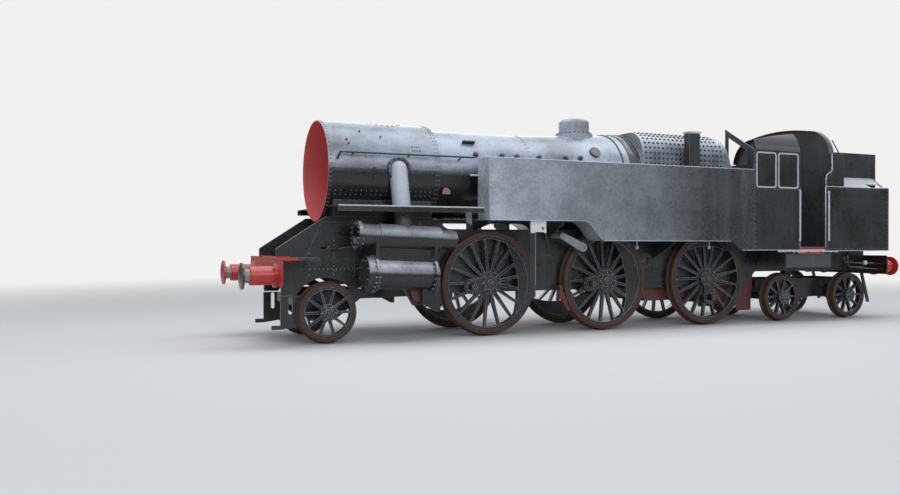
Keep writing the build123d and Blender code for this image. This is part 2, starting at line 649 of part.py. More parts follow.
for name, beam_x, turn in (("front_buffers", FRONT_BEAM_X, 0), ("rear_buffers", REAR_BEAM_X, 180)):
    with BuildPart() as pair:
        for side in (1, -1):
            add(Pos(beam_x, side * BUFFER_Y, 0) * Rot(0, 0, turn) * forward_buffer.part)
    pair.part.label = name
    export_step(pair.part, f"parts/{name}.step")

# Draw gear: a hook on a deep shank through each beam, with its hole for the coupling pin
with BuildPart() as draw_hooks:
    for beam_x, forward in ((FRONT_BEAM_X, 1), (REAR_BEAM_X, -1)):
        shank_x = beam_x + forward * HOOK_SHANK_LENGTH
        tip_x = shank_x + forward * HOOK_BEAK_LENGTH
        with BuildSketch(side_plane(HOOK_PLATE_WIDTH / 2)):
            with BuildLine():
                Polyline(
                    (beam_x, HOOK_Z - HOOK_SHANK_HEIGHT / 2),
                    (shank_x, HOOK_Z - HOOK_SHANK_HEIGHT / 2),
                    (tip_x, HOOK_Z),
                    (tip_x, HOOK_Z + HOOK_BEAK_HEIGHT),
                    (tip_x - forward * HOOK_BEAK_WIDTH, HOOK_Z + HOOK_BEAK_HEIGHT),
                    (tip_x - forward * HOOK_BEAK_WIDTH, HOOK_Z + HOOK_SHANK_HEIGHT / 2),
                    (beam_x, HOOK_Z + HOOK_SHANK_HEIGHT / 2),
                    close=True,
                )
            make_face()
            with Locations((beam_x + forward * HOOK_HOLE_DEPTH, HOOK_Z)):
                Circle(HOOK_HOLE_R, mode=Mode.SUBTRACT)
        extrude(amount=HOOK_PLATE_WIDTH)
draw_hooks.part.label = "draw_hooks"
export_step(draw_hooks.part, "parts/draw_hooks.step")

# Front platform: a deck on the beam's top edge, between the frame plates and out to the beam's ends
with BuildPart() as front_platform:
    with BuildSketch(Plane.XY.offset(BEAM_TOP_Z)):
        with Locations((FRONT_BEAM_X, 0)):
            Rectangle(FRONT_BEAM_X - DECK_BACK_X, 2 * BEAM_HALF_WIDTH, align=(Align.MAX, Align.CENTER))
            Rectangle(FRONT_BEAM_X - SMOKEBOX_FRONT_X, 2 * FRAME_INSIDE_Y, align=(Align.MAX, Align.CENTER))
        for side in (1, -1):
            with Locations((FRAME_FRONT_X, side * (FRAME_OUTSIDE_Y + FRAME_INSIDE_Y) / 2)):
                slot_length = FRAME_FRONT_X - SMOKEBOX_FRONT_X
                Rectangle(
                    slot_length, FRAME_PLATE_THICKNESS, align=(Align.MAX, Align.CENTER), mode=Mode.SUBTRACT
                )
            with Locations((DOUBLER_FRONT_X, side * (FRAME_OUTSIDE_Y + DOUBLER_WIDTH / 2))):
                lap_length = DOUBLER_FRONT_X - SMOKEBOX_FRONT_X
                Rectangle(lap_length, DOUBLER_WIDTH, align=(Align.MAX, Align.CENTER), mode=Mode.SUBTRACT)
    extrude(amount=DECK_THICKNESS)
front_platform.part.label = "front_platform"
export_step(front_platform.part, "parts/front_platform.step")

# Smokebox: an open drum with a ring at its back and a hole for the missing chimney
with BuildPart() as smokebox:
    with BuildSketch(Plane.YZ.offset(SMOKEBOX_BACK_X)):
        with Locations((0, BOILER_Z)):
            Circle(SMOKEBOX_R)
            Circle(SMOKEBOX_R - SMOKEBOX_WALL_THICKNESS, mode=Mode.SUBTRACT)
    extrude(amount=SMOKEBOX_FRONT_X - SMOKEBOX_BACK_X)
    with BuildSketch(Plane.YZ.offset(SMOKEBOX_BACK_X)):
        with Locations((0, BOILER_Z)):
            Circle(SMOKEBOX_R - SMOKEBOX_WALL_THICKNESS)
            Circle(BARREL_FRONT_R, mode=Mode.SUBTRACT)
    extrude(amount=SMOKEBOX_RING_WIDTH)
    with BuildSketch(Plane.XY.offset(BOILER_Z)):
        with Locations((CHIMNEY_X, 0)):
            Circle(CHIMNEY_HOLE_R)
    extrude(amount=SMOKEBOX_R, mode=Mode.SUBTRACT)
smokebox.part.label = "smokebox"
export_step(smokebox.part, "parts/smokebox.step")

# Blast pipe: a stand in the smokebox with a flange at its foot and a cap round the nozzle
blast_foot_z = BOILER_Z - SMOKEBOX_R
upright = (Align.CENTER, Align.CENTER, Align.MIN)
with BuildPart() as blast_pipe:
    with Locations((CHIMNEY_X, 0, blast_foot_z)):
        Cylinder(BLAST_PIPE_R, BLAST_TOP_Z - blast_foot_z, align=upright)
        Cylinder(BLAST_FLANGE_R, BLAST_FLANGE_Z - blast_foot_z, align=upright)
    with Locations((CHIMNEY_X, 0, BLAST_TOP_Z - BLAST_CAP_HEIGHT)):
        Cylinder(BLAST_CAP_R, BLAST_CAP_HEIGHT, align=upright)
    with Locations((CHIMNEY_X, 0, BLAST_TOP_Z - BLAST_NOZZLE_DEPTH)):
        Cylinder(BLAST_NOZZLE_R, BLAST_NOZZLE_DEPTH, align=upright, mode=Mode.SUBTRACT)
    with Locations((CHIMNEY_X, 0, BOILER_Z)):
        inside_r = SMOKEBOX_R - SMOKEBOX_WALL_THICKNESS
        Cylinder(inside_r, 3 * BLAST_FLANGE_R, rotation=(0, 90, 0), mode=Mode.INTERSECT)
blast_pipe.part.label = "blast_pipe"
export_step(blast_pipe.part, "parts/blast_pipe.step")

# Saddle: a box between the frame plates, widened over their top edges to carry the smokebox
with BuildPart() as saddle:
    with BuildSketch(Plane.YZ.offset(SADDLE_BACK_X)):
        with Locations((0, FRAME_TOP_FRONT_Z)):
            Rectangle(2 * FRAME_OUTSIDE_Y, SADDLE_HEIGHT, align=(Align.CENTER, Align.MIN))
            Rectangle(2 * FRAME_INSIDE_Y, FRAME_TOP_FRONT_Z - SADDLE_FOOT_Z, align=(Align.CENTER, Align.MAX))
        with Locations((0, BOILER_Z)):
            Circle(SMOKEBOX_R, mode=Mode.SUBTRACT)
    extrude(amount=SADDLE_FRONT_X - SADDLE_BACK_X)
saddle.part.label = "saddle"
export_step(saddle.part, "parts/saddle.step")

# Boiler barrel: parallel front ring, then a taper to the firebox
with BuildPart() as boiler_barrel:
    with BuildSketch(Plane.XZ):
        with BuildLine():
            Polyline(
                (FIREBOX_FRONT_X, BOILER_Z),
                (FIREBOX_FRONT_X, BOILER_Z + BARREL_BACK_R),
                (TAPER_START_X, BOILER_Z + BARREL_FRONT_R),
                (SMOKEBOX_BACK_X + SMOKEBOX_RING_WIDTH, BOILER_Z + BARREL_FRONT_R),
                (SMOKEBOX_BACK_X + SMOKEBOX_RING_WIDTH, BOILER_Z),
                close=True,
            )
        make_face()
    revolve(axis=Axis((0, 0, BOILER_Z), (1, 0, 0)))
boiler_barrel.part.label = "boiler_barrel"
export_step(boiler_barrel.part, "parts/boiler_barrel.step")

# Dome: a plain cover on a bolted flange, its foot cut to the barrel
taper_share = (TAPER_START_X - DOME_X) / (TAPER_START_X - FIREBOX_FRONT_X)
dome_seat_z = BOILER_Z + BARREL_FRONT_R + (BARREL_BACK_R - BARREL_FRONT_R) * taper_share
dome_flange_z = dome_seat_z + DOME_FLANGE_HEIGHT
dome_top_z = dome_flange_z + DOME_HEIGHT
with BuildPart() as dome:
    with BuildSketch(Plane.XZ):
        with BuildLine():
            Polyline(
                (DOME_X + DOME_R - DOME_EDGE_R, dome_top_z),
                (DOME_X, dome_top_z),
                (DOME_X, BOILER_Z),
                (DOME_X + DOME_FLANGE_R, BOILER_Z),
                (DOME_X + DOME_FLANGE_R, dome_flange_z),
                (DOME_X + DOME_R, dome_flange_z),
                (DOME_X + DOME_R, dome_top_z - DOME_EDGE_R),
            )
            JernArc((DOME_X + DOME_R, dome_top_z - DOME_EDGE_R), (0, 1), DOME_EDGE_R, QUARTER_TURN_ANGLE)
        make_face()
    revolve(axis=Axis((DOME_X, 0, 0), (0, 0, 1)))
    add(boiler_barrel.part, mode=Mode.SUBTRACT)
dome.part.label = "dome"
export_step(dome.part, "parts/dome.step")

# Firebox: flat topped, with round shoulders, narrowing between the frames, its back plate sloping forward
with BuildPart() as firebox:
    with BuildSketch(Plane.YZ.offset(FIREBOX_BACK_X)):
        with BuildLine():
            Polyline(
                (0, FIREBOX_TOP_Z),
                (FIREBOX_HALF_WIDTH, FIREBOX_TOP_Z),
                (FIREBOX_HALF_WIDTH, FIREBOX_FLARE_TOP_Z),
                (FIREBOX_FOOT_HALF_WIDTH, FIREBOX_FLARE_FOOT_Z),
                (FIREBOX_FOOT_HALF_WIDTH, FIREBOX_BOTTOM_Z),
                (0, FIREBOX_BOTTOM_Z),
            )
            mirror(about=Plane.YZ)
        make_face()
    extrude(amount=FIREBOX_LENGTH)
    shoulder_edges = edges().filter_by(Axis.X).group_by(Axis.Z)[-1]
    fillet(shoulder_edges, FIREBOX_CORNER_R)
    with BuildSketch(side_plane(FIREBOX_HALF_WIDTH)):
        with BuildLine():
            Polyline(
                (FIREBOX_BACK_X, FIREBOX_BACK_BEND_Z),
                (FIREBOX_BACK_X + FIREBOX_BACK_SLOPE_LENGTH, FIREBOX_TOP_Z),
                (FIREBOX_BACK_X, FIREBOX_TOP_Z),
                close=True,
            )
        make_face()
    extrude(amount=2 * FIREBOX_HALF_WIDTH, mode=Mode.SUBTRACT)
firebox.part.label = "firebox"
export_step(firebox.part, "parts/firebox.step")

# Ashpan: two hoppers below the firebox, arched over the rear driving axle, with a flap behind
with BuildPart() as ashpan:
    with BuildSketch(side_plane(ASHPAN_HALF_WIDTH)):
        with BuildLine():
            Polyline(
                (FIREBOX_FRONT_X, FIREBOX_BOTTOM_Z),
                (FIREBOX_FRONT_X, FIREBOX_BOTTOM_Z - ASHPAN_LIP_HEIGHT),
                (FIREBOX_FRONT_X - ASHPAN_FRONT_SLOPE_LENGTH, ASHPAN_FRONT_BOTTOM_Z),
                (DRIVER_3_X + ASHPAN_WELL_HALF_LENGTH, ASHPAN_FRONT_BOTTOM_Z),
                (DRIVER_3_X + ASHPAN_ARCH_HALF_LENGTH, ASHPAN_ARCH_Z),
                (DRIVER_3_X - ASHPAN_ARCH_HALF_LENGTH, ASHPAN_ARCH_Z),
                (DRIVER_3_X - ASHPAN_WELL_HALF_LENGTH, ASHPAN_REAR_BOTTOM_Z),
                (ASHPAN_BACK_X + ASHPAN_REAR_SLOPE_LENGTH, ASHPAN_REAR_BOTTOM_Z),
                (ASHPAN_BACK_X, FIREBOX_BOTTOM_Z - ASHPAN_LIP_HEIGHT),
                (ASHPAN_BACK_X, FIREBOX_BOTTOM_Z),
                close=True,
            )
        make_face()
    extrude(amount=2 * ASHPAN_HALF_WIDTH)
    for y in (ASHPAN_HALF_WIDTH, ASHPAN_FLAP_THICKNESS - ASHPAN_HALF_WIDTH):
        with BuildSketch(side_plane(y)):
            with Locations((ASHPAN_FLAP_FRONT_X, ASHPAN_REAR_BOTTOM_Z)):
                flap_length = ASHPAN_FLAP_FRONT_X - ASHPAN_BACK_X - ASHPAN_REAR_SLOPE_LENGTH
                flap_height = ASHPAN_REAR_BOTTOM_Z - ASHPAN_FLAP_BOTTOM_Z
                Rectangle(flap_length, flap_height, align=(Align.MAX, Align.MAX))
        extrude(amount=ASHPAN_FLAP_THICKNESS)
ashpan.part.label = "ashpan"
export_step(ashpan.part, "parts/ashpan.step")

# Cylinders: valve chest above the main cylinder, one casting bolted to the frame, its chest open in front
# section columns: start along the slope, length, radius, height above the main cylinder's line
CYLINDER_SECTIONS = [
    (-CYLINDER_BACK_LENGTH, CYLINDER_BACK_LENGTH + CYLINDER_FRONT_LENGTH, CYLINDER_R, 0),
    (CYLINDER_FRONT_LENGTH, CYLINDER_COVER_DEPTH, CYLINDER_COVER_R, 0),
    (-CYLINDER_BACK_LENGTH - CYLINDER_GLAND_DEPTH, CYLINDER_GLAND_DEPTH, CYLINDER_GLAND_R, 0),
    (-VALVE_BACK_LENGTH, VALVE_BACK_LENGTH + VALVE_FRONT_LENGTH, VALVE_R, VALVE_RISE_HEIGHT),
    (VALVE_FRONT_LENGTH, VALVE_NECK_LENGTH, VALVE_NECK_R, VALVE_RISE_HEIGHT),
    (VALVE_FRONT_LENGTH + VALVE_NECK_LENGTH, VALVE_FLANGE_THICKNESS, VALVE_FLANGE_R, VALVE_RISE_HEIGHT),
    (-VALVE_BACK_LENGTH - VALVE_TAIL_LENGTH, VALVE_TAIL_LENGTH, VALVE_TAIL_R, VALVE_RISE_HEIGHT),
]
valve_mouth = VALVE_FRONT_LENGTH + VALVE_NECK_LENGTH + VALVE_FLANGE_THICKNESS
cylinder_parts = {}
for name, side in (("cylinder_left", 1), ("cylinder_right", -1)):
    with BuildPart() as cylinder:
        for start, length, radius, height in CYLINDER_SECTIONS:
            with BuildSketch(bore_plane(start)):
                with Locations((side * CYLINDER_Y, height)):
                    Circle(radius)
            extrude(amount=length)
        for start in (-CYLINDER_BACK_LENGTH, CYLINDER_FRONT_LENGTH - CYLINDER_FLANGE_THICKNESS):
            with BuildSketch(bore_plane(start)):
                with Locations((side * CYLINDER_Y, 0)):
                    Circle(CYLINDER_FLANGE_R)
                    Rectangle(2 * FLANGE_NECK_HALF_WIDTH, VALVE_RISE_HEIGHT, align=(Align.CENTER, Align.MIN))
            extrude(amount=CYLINDER_FLANGE_THICKNESS)
        with BuildSketch(bore_plane(-CYLINDER_BACK_LENGTH)):
            with Locations((side * (CYLINDER_WEB_REACH_Y + FRAME_OUTSIDE_Y) / 2, 0)):
                web_width = CYLINDER_WEB_REACH_Y - FRAME_OUTSIDE_Y
                Rectangle(web_width, VALVE_RISE_HEIGHT, align=(Align.CENTER, Align.MIN))
        extrude(amount=CYLINDER_BACK_LENGTH + CYLINDER_FRONT_LENGTH)
        with BuildSketch(bore_plane(valve_mouth)):
            with Locations((side * CYLINDER_Y, VALVE_RISE_HEIGHT)):
                Circle(VALVE_BORE_R)
        extrude(amount=-VALVE_BORE_DEPTH, mode=Mode.SUBTRACT)
        foot_y = CYLINDER_FOOT_Y if side > 0 else CYLINDER_FOOT_THICKNESS - CYLINDER_FOOT_Y
        with BuildSketch(side_plane(foot_y)):
            with BuildLine():
                Polyline(
                    (CYLINDER_FOOT_FRONT_X, CYLINDER_Z - CYLINDER_R / 2),
                    (CYLINDER_FOOT_FRONT_X, CYLINDER_FOOT_SHOULDER_Z),
                    (CYLINDER_FOOT_BACK_X + CYLINDER_FOOT_THICKNESS, CYLINDER_FOOT_BOTTOM_Z),
                    (CYLINDER_FOOT_BACK_X, CYLINDER_FOOT_BOTTOM_Z),
                    (CYLINDER_FOOT_BACK_X, CYLINDER_Z - CYLINDER_R / 2),
                    close=True,
                )
            make_face()
        extrude(amount=CYLINDER_FOOT_THICKNESS)
        bracket_y = DRAIN_BRACKET_Y if side > 0 else DRAIN_BRACKET_THICKNESS - DRAIN_BRACKET_Y
        with BuildSketch(side_plane(bracket_y)):
            with BuildLine():
                Polyline(
                    (DRAIN_BRACKET_FRONT_X, CYLINDER_Z - CYLINDER_R / 2),
                    (DRAIN_BRACKET_FRONT_X, CYLINDER_Z - CYLINDER_R),
                    ((DRAIN_BRACKET_FRONT_X + DRAIN_BRACKET_BACK_X) / 2, DRAIN_BRACKET_BOTTOM_Z),
                    (DRAIN_BRACKET_BACK_X, DRAIN_BRACKET_BOTTOM_Z),
                    (DRAIN_BRACKET_BACK_X, CYLINDER_Z - CYLINDER_R / 2),
                    close=True,
                )
            make_face()
        extrude(amount=DRAIN_BRACKET_THICKNESS)
    cylinder_parts[side] = cylinder.part
    cylinder.part.label = name
    export_step(cylinder.part, f"parts/{name}.step")

# Steam pipes: leaning sleeves from the smokebox sides down through the running plates to the valve chests
with BuildPart() as steam_pipes:
    for side in (1, -1):
        top = Vector(STEAM_PIPE_TOP_X, side * STEAM_PIPE_TOP_Y, STEAM_PIPE_TOP_Z)
        foot = Vector(STEAM_PIPE_FOOT_X, side * CYLINDER_Y, STEAM_PIPE_FOOT_Z)
        with BuildSketch(Plane(origin=top, z_dir=foot - top)):
            Circle(STEAM_PIPE_R)
        extrude(amount=(foot - top).length)
        with Locations(top):
            Sphere(STEAM_PIPE_R)
    with Locations((STEAM_PIPE_TOP_X, 0, BOILER_Z)):
        Cylinder(SMOKEBOX_R, 4 * STEAM_PIPE_R, rotation=(0, 90, 0), mode=Mode.SUBTRACT)
    for side in (1, -1):
        add(cylinder_parts[side], mode=Mode.SUBTRACT)
steam_pipes.part.label = "steam_pipes"
export_step(steam_pipes.part, "parts/steam_pipes.step")

# Running plates beside the smokebox, each with a deep edge angle and a stop under its front end
pipe_share = (STEAM_PIPE_TOP_Z - RUNNING_Z) / (STEAM_PIPE_TOP_Z - STEAM_PIPE_FOOT_Z)
pipe_x = STEAM_PIPE_TOP_X + (STEAM_PIPE_FOOT_X - STEAM_PIPE_TOP_X) * pipe_share
pipe_y = STEAM_PIPE_TOP_Y + (CYLINDER_Y - STEAM_PIPE_TOP_Y) * pipe_share
plate_length = RUNNING_FRONT_X - RUNNING_BACK_X
with BuildPart() as running_plates:
    for side in (1, -1):
        with BuildSketch(Plane.XY.offset(RUNNING_Z - RUNNING_PLATE_THICKNESS)):
            with Locations((RUNNING_BACK_X, side * (FRAME_OUTSIDE_Y + RUNNING_EDGE_Y) / 2)):
                Rectangle(plate_length, RUNNING_EDGE_Y - FRAME_OUTSIDE_Y, align=(Align.MIN, Align.CENTER))
            with Locations((pipe_x, side * pipe_y)):
                Circle(STEAM_PIPE_R + RUNNING_PIPE_GAP, mode=Mode.SUBTRACT)
        extrude(amount=RUNNING_PLATE_THICKNESS)
        with BuildSketch(Plane.XY.offset(RUNNING_Z - RUNNING_VALANCE_HEIGHT)):
            with Locations((RUNNING_BACK_X, side * (RUNNING_EDGE_Y - RUNNING_PLATE_THICKNESS / 2))):
                Rectangle(plate_length, RUNNING_PLATE_THICKNESS, align=(Align.MIN, Align.CENTER))
            with Locations((RUNNING_STOP_FRONT_X, side * (RUNNING_EDGE_Y - RUNNING_STOP_WIDTH / 2))):
                Rectangle(RUNNING_STOP_LENGTH, RUNNING_STOP_WIDTH, align=(Align.MAX, Align.CENTER))
        extrude(amount=RUNNING_VALANCE_HEIGHT - RUNNING_PLATE_THICKNESS)
running_plates.part.label = "running_plates"
export_step(running_plates.part, "parts/running_plates.step")

# Side tanks: deep boxes with a raised belly in front, over the motion, and a step down to the cab
with BuildPart() as left_tank:
    with BuildSketch(side_plane(SIDE_Y)):
        with BuildLine():
            Polyline(
                (TANK_FRONT_X, TANK_TOP_Z),
                (TANK_FRONT_X, TANK_BOTTOM_FRONT_Z),
                (TANK_STEP_FRONT_X, TANK_BOTTOM_FRONT_Z),
                (TANK_STEP_BACK_X, TANK_BOTTOM_Z),
                (TANK_REAR_STEP_FRONT_X, TANK_BOTTOM_Z),
                (TANK_REAR_STEP_BACK_X, CAB_BOTTOM_Z),
                (CAB_FRONT_X, CAB_BOTTOM_Z),
                (CAB_FRONT_X, TANK_TOP_Z),
                close=True,
            )
        make_face()
        fillet(vertices().filter_by_position(Axis.X, TANK_STEP_BACK_X, TANK_STEP_FRONT_X), TANK_STEP_R)
        rear_bends = vertices().filter_by_position(Axis.X, TANK_REAR_STEP_BACK_X, TANK_REAR_STEP_FRONT_X)
        fillet(rear_bends, TANK_REAR_STEP_R)
    extrude(amount=SIDE_Y - TANK_INNER_Y)
for name, tank in (("tank_left", left_tank.part), ("tank_right", mirror(left_tank.part, about=Plane.XZ))):
    tank.label = name
    export_step(tank, f"parts/{name}.step")

# Tank brackets: cross plates between the wheels that carry the tanks from the frames
# bracket columns: X, height at the frame, Z of the tank's bottom there
TANK_BRACKETS = [
    (FRONT_TANK_BRACKET_X, TANK_BRACKET_FRONT_HEIGHT, TANK_BOTTOM_FRONT_Z),
    (MIDDLE_TANK_BRACKET_X, TANK_BRACKET_HEIGHT, TANK_BOTTOM_FRONT_Z),
    (REAR_TANK_BRACKET_X, TANK_BRACKET_HEIGHT, TANK_BOTTOM_Z),
]
with BuildPart() as tank_brackets:
    for x, height, top in TANK_BRACKETS:
        for side in (1, -1):
            with BuildSketch(Plane.YZ.offset(x)):
                with BuildLine():
                    Polyline(
                        (side * FRAME_OUTSIDE_Y, top),
                        (side * TANK_BRACKET_REACH_Y, top),
                        (side * TANK_BRACKET_REACH_Y, top - TANK_BRACKET_EDGE_HEIGHT),
                        (side * FRAME_OUTSIDE_Y, top - height),
                        close=True,
                    )
                make_face()
            extrude(amount=TANK_BRACKET_WIDTH / 2, both=True)
tank_brackets.part.label = "tank_brackets"
export_step(tank_brackets.part, "parts/tank_brackets.step")

# Cab sides: flat sheets from the tank to the doorway, with two windows each
# window columns: middle X, width
SIDE_WINDOWS = [
    (FRONT_WINDOW_X, FRONT_WINDOW_WIDTH),
    (REAR_WINDOW_X, REAR_WINDOW_WIDTH),
]
window_z = WINDOW_BOTTOM_Z + WINDOW_HEIGHT / 2
for name, outer_y in (("cab_side_left", SIDE_Y), ("cab_side_right", SHEET_THICKNESS - SIDE_Y)):
    with BuildPart() as cab_side:
        with BuildSketch(side_plane(outer_y)):
            with Locations(((CAB_FRONT_X + DOOR_FRONT_X) / 2, (CAB_BOTTOM_Z + CANTRAIL_Z) / 2)):
                Rectangle(CAB_FRONT_X - DOOR_FRONT_X, CANTRAIL_Z - CAB_BOTTOM_Z)
            for x, width in SIDE_WINDOWS:
                with Locations((x, window_z)):
                    RectangleRounded(width, WINDOW_HEIGHT, WINDOW_CORNER_R, mode=Mode.SUBTRACT)
        extrude(amount=SHEET_THICKNESS)
    cab_side.part.label = name
    export_step(cab_side.part, f"parts/{name}.step")

# Window frames: a raised frame round each side window
frame_height = WINDOW_HEIGHT + 2 * WINDOW_FRAME_WIDTH
frame_corner_r = WINDOW_CORNER_R + WINDOW_FRAME_WIDTH
with BuildPart() as window_frames:
    for y in (SIDE_Y + WINDOW_FRAME_DEPTH, -SIDE_Y):
        with BuildSketch(side_plane(y)):
            for x, width in SIDE_WINDOWS:
                with Locations((x, window_z)):
                    RectangleRounded(width + 2 * WINDOW_FRAME_WIDTH, frame_height, frame_corner_r)
                    RectangleRounded(width, WINDOW_HEIGHT, WINDOW_CORNER_R, mode=Mode.SUBTRACT)
        extrude(amount=WINDOW_FRAME_DEPTH)
window_frames.part.label = "window_frames"
export_step(window_frames.part, "parts/window_frames.step")

# Cab front: a plate each side of the firebox with a sloping top and a window, its inner edge set forward
with BuildPart() as cab_front:
    for side in (1, -1):
        outer = Vector(CAB_FRONT_X, side * (SIDE_Y - SHEET_THICKNESS), TANK_TOP_Z)
        inner = Vector(CAB_FRONT_X + SPECTACLE_SET_LENGTH, side * SPECTACLE_INNER_Y, TANK_TOP_Z)
        across = outer - inner
        width = across.length
        top_fall = (SPECTACLE_INNER_HEIGHT - CANTRAIL_Z + TANK_TOP_Z) / width
        window_inner = SPECTACLE_POST_WIDTH
        window_outer = width - 2 * SPECTACLE_POST_WIDTH
        head_z = SPECTACLE_INNER_HEIGHT - SPECTACLE_HEAD_DEPTH
        with BuildSketch(Plane(origin=inner, x_dir=across, z_dir=across.cross(Vector(0, 0, 1)))):
            with BuildLine():
                Polyline(
                    (0, 0),
                    (0, SPECTACLE_INNER_HEIGHT),
                    (width, CANTRAIL_Z - TANK_TOP_Z),
                    (width, 0),
                    close=True,
                )
            make_face()
            with BuildLine():
                Polyline(
                    (window_inner, SPECTACLE_SILL_HEIGHT),
                    (window_inner, head_z - top_fall * window_inner),
                    (window_outer, head_z - top_fall * window_outer),
                    (window_outer, SPECTACLE_SILL_HEIGHT),
                    close=True,
                )
            make_face(mode=Mode.SUBTRACT)
        extrude(amount=SHEET_THICKNESS / 2, both=True)
    add(firebox.part, mode=Mode.SUBTRACT)
cab_front.part.label = "cab_front"
export_step(cab_front.part, "parts/cab_front.step")

# Cab floor: one plate from the firebox to the bunker, with a deep sill under each doorway
with BuildPart() as cab_floor:
    with BuildSketch(Plane.XY.offset(FLOOR_Z)):
        with Locations(((FIREBOX_BACK_X + CAB_BACK_X) / 2, 0)):
            Rectangle(FIREBOX_BACK_X - CAB_BACK_X, 2 * (SIDE_Y - SHEET_THICKNESS))
    extrude(amount=FLOOR_THICKNESS)
    for side in (1, -1):
        with BuildSketch(Plane.XY.offset(SILL_BOTTOM_Z)):
            with Locations(((DOOR_FRONT_X + DOOR_BACK_X) / 2, side * (SILL_OUTER_Y - SILL_WIDTH / 2))):
                Rectangle(DOOR_WIDTH, SILL_WIDTH)
        extrude(amount=FLOOR_Z + FLOOR_THICKNESS - SILL_BOTTOM_Z)
cab_floor.part.label = "cab_floor"
export_step(cab_floor.part, "parts/cab_floor.step")

# Rear cab sheet: the back wall, plated over, up to the underside of the roof
roof_crown_z = CANTRAIL_Z + ROOF_CROWN_RISE
roof_shoulder_z = CANTRAIL_Z + ROOF_SHOULDER_RISE
with BuildPart() as cab_rear:
    with BuildSketch(Plane.YZ.offset(CAB_BACK_X)):
        with BuildLine():
            wall_y = SIDE_Y - SHEET_THICKNESS
            under_crown = (0, roof_crown_z - ROOF_SHEET_THICKNESS)
            under_left = (ROOF_SHOULDER_Y, roof_shoulder_z - ROOF_SHEET_THICKNESS)
            under_right = (-ROOF_SHOULDER_Y, roof_shoulder_z - ROOF_SHEET_THICKNESS)
            ThreePointArc(under_right, under_crown, under_left)
            RadiusArc(under_left, (wall_y, CANTRAIL_Z), ROOF_SIDE_R)
            RadiusArc((-wall_y, CANTRAIL_Z), under_right, ROOF_SIDE_R)
            Polyline(
                (wall_y, CANTRAIL_Z),
                (wall_y, FLOOR_Z + FLOOR_THICKNESS),
                (-wall_y, FLOOR_Z + FLOOR_THICKNESS),
                (-wall_y, CANTRAIL_Z),
            )
        make_face()
    extrude(amount=SHEET_THICKNESS)
cab_rear.part.label = "cab_rear"
export_step(cab_rear.part, "parts/cab_rear.step")

# Cab roof: what is left of a curved sheet, a strip over each cab side and a band along the rear sheet
with BuildPart() as cab_roof:
    with BuildSketch(Plane.YZ.offset(ROOF_BACK_X)):
        with BuildLine():
            for drop in (0, ROOF_SHEET_THICKNESS):
                shoulder_left = (ROOF_SHOULDER_Y, roof_shoulder_z - drop)
                shoulder_right = (-ROOF_SHOULDER_Y, roof_shoulder_z - drop)
                ThreePointArc(shoulder_right, (0, roof_crown_z - drop), shoulder_left)
                RadiusArc(shoulder_left, (SIDE_Y - drop, CANTRAIL_Z), ROOF_SIDE_R)
                RadiusArc((drop - SIDE_Y, CANTRAIL_Z), shoulder_right, ROOF_SIDE_R)
            Line((SIDE_Y, CANTRAIL_Z), (SIDE_Y - ROOF_SHEET_THICKNESS, CANTRAIL_Z))
            Line((-SIDE_Y, CANTRAIL_Z), (ROOF_SHEET_THICKNESS - SIDE_Y, CANTRAIL_Z))
        make_face()
    extrude(amount=ROOF_FRONT_X - ROOF_BACK_X)
    band_front_x = ROOF_BACK_X + ROOF_REAR_BAND_LENGTH
    with BuildSketch(Plane.XY.offset(CANTRAIL_Z)):
        with BuildLine():
            Polyline(
                (ROOF_FRONT_X, ROOF_NOTCH_FRONT_Y),
                (DOOR_FRONT_X, ROOF_NOTCH_BACK_Y),
                (DOOR_FRONT_X, SIDE_Y),
                (band_front_x, SIDE_Y),
                (band_front_x, -SIDE_Y),
                (DOOR_FRONT_X, -SIDE_Y),
                (DOOR_FRONT_X, -ROOF_NOTCH_BACK_Y),
                (ROOF_FRONT_X, -ROOF_NOTCH_FRONT_Y),
                close=True,
            )
        make_face()
    extrude(amount=2 * ROOF_CROWN_RISE, mode=Mode.SUBTRACT)
cab_roof.part.label = "cab_roof"
export_step(cab_roof.part, "parts/cab_roof.step")

# Bunker: an open box, its sides carried forward to the doorways
bunker_inside_y = SIDE_Y - SHEET_THICKNESS
with BuildPart() as bunker:
    with BuildSketch(Plane.XY.offset(BUNKER_BOTTOM_Z)):
        with Locations((BUNKER_BACK_X, 0)):
            Rectangle(DOOR_BACK_X - BUNKER_BACK_X, 2 * SIDE_Y, align=(Align.MIN, Align.CENTER))
    extrude(amount=BUNKER_TOP_Z - BUNKER_BOTTOM_Z)
    with BuildSketch(Plane.XY.offset(FLOOR_Z)):
        with Locations((BUNKER_BACK_X + SHEET_THICKNESS, 0)):
            coal_length = CAB_BACK_X - BUNKER_BACK_X - 2 * SHEET_THICKNESS
            Rectangle(coal_length, 2 * bunker_inside_y, align=(Align.MIN, Align.CENTER))
    extrude(amount=BUNKER_TOP_Z, mode=Mode.SUBTRACT)
    with BuildSketch(Plane.XY.offset(BUNKER_BOTTOM_Z)):
        with Locations((CAB_BACK_X, 0)):
            Rectangle(2 * (DOOR_BACK_X - CAB_BACK_X), 2 * bunker_inside_y, align=(Align.MIN, Align.CENTER))
    extrude(amount=BUNKER_TOP_Z, mode=Mode.SUBTRACT)
bunker.part.label = "bunker"
export_step(bunker.part, "parts/bunker.step")

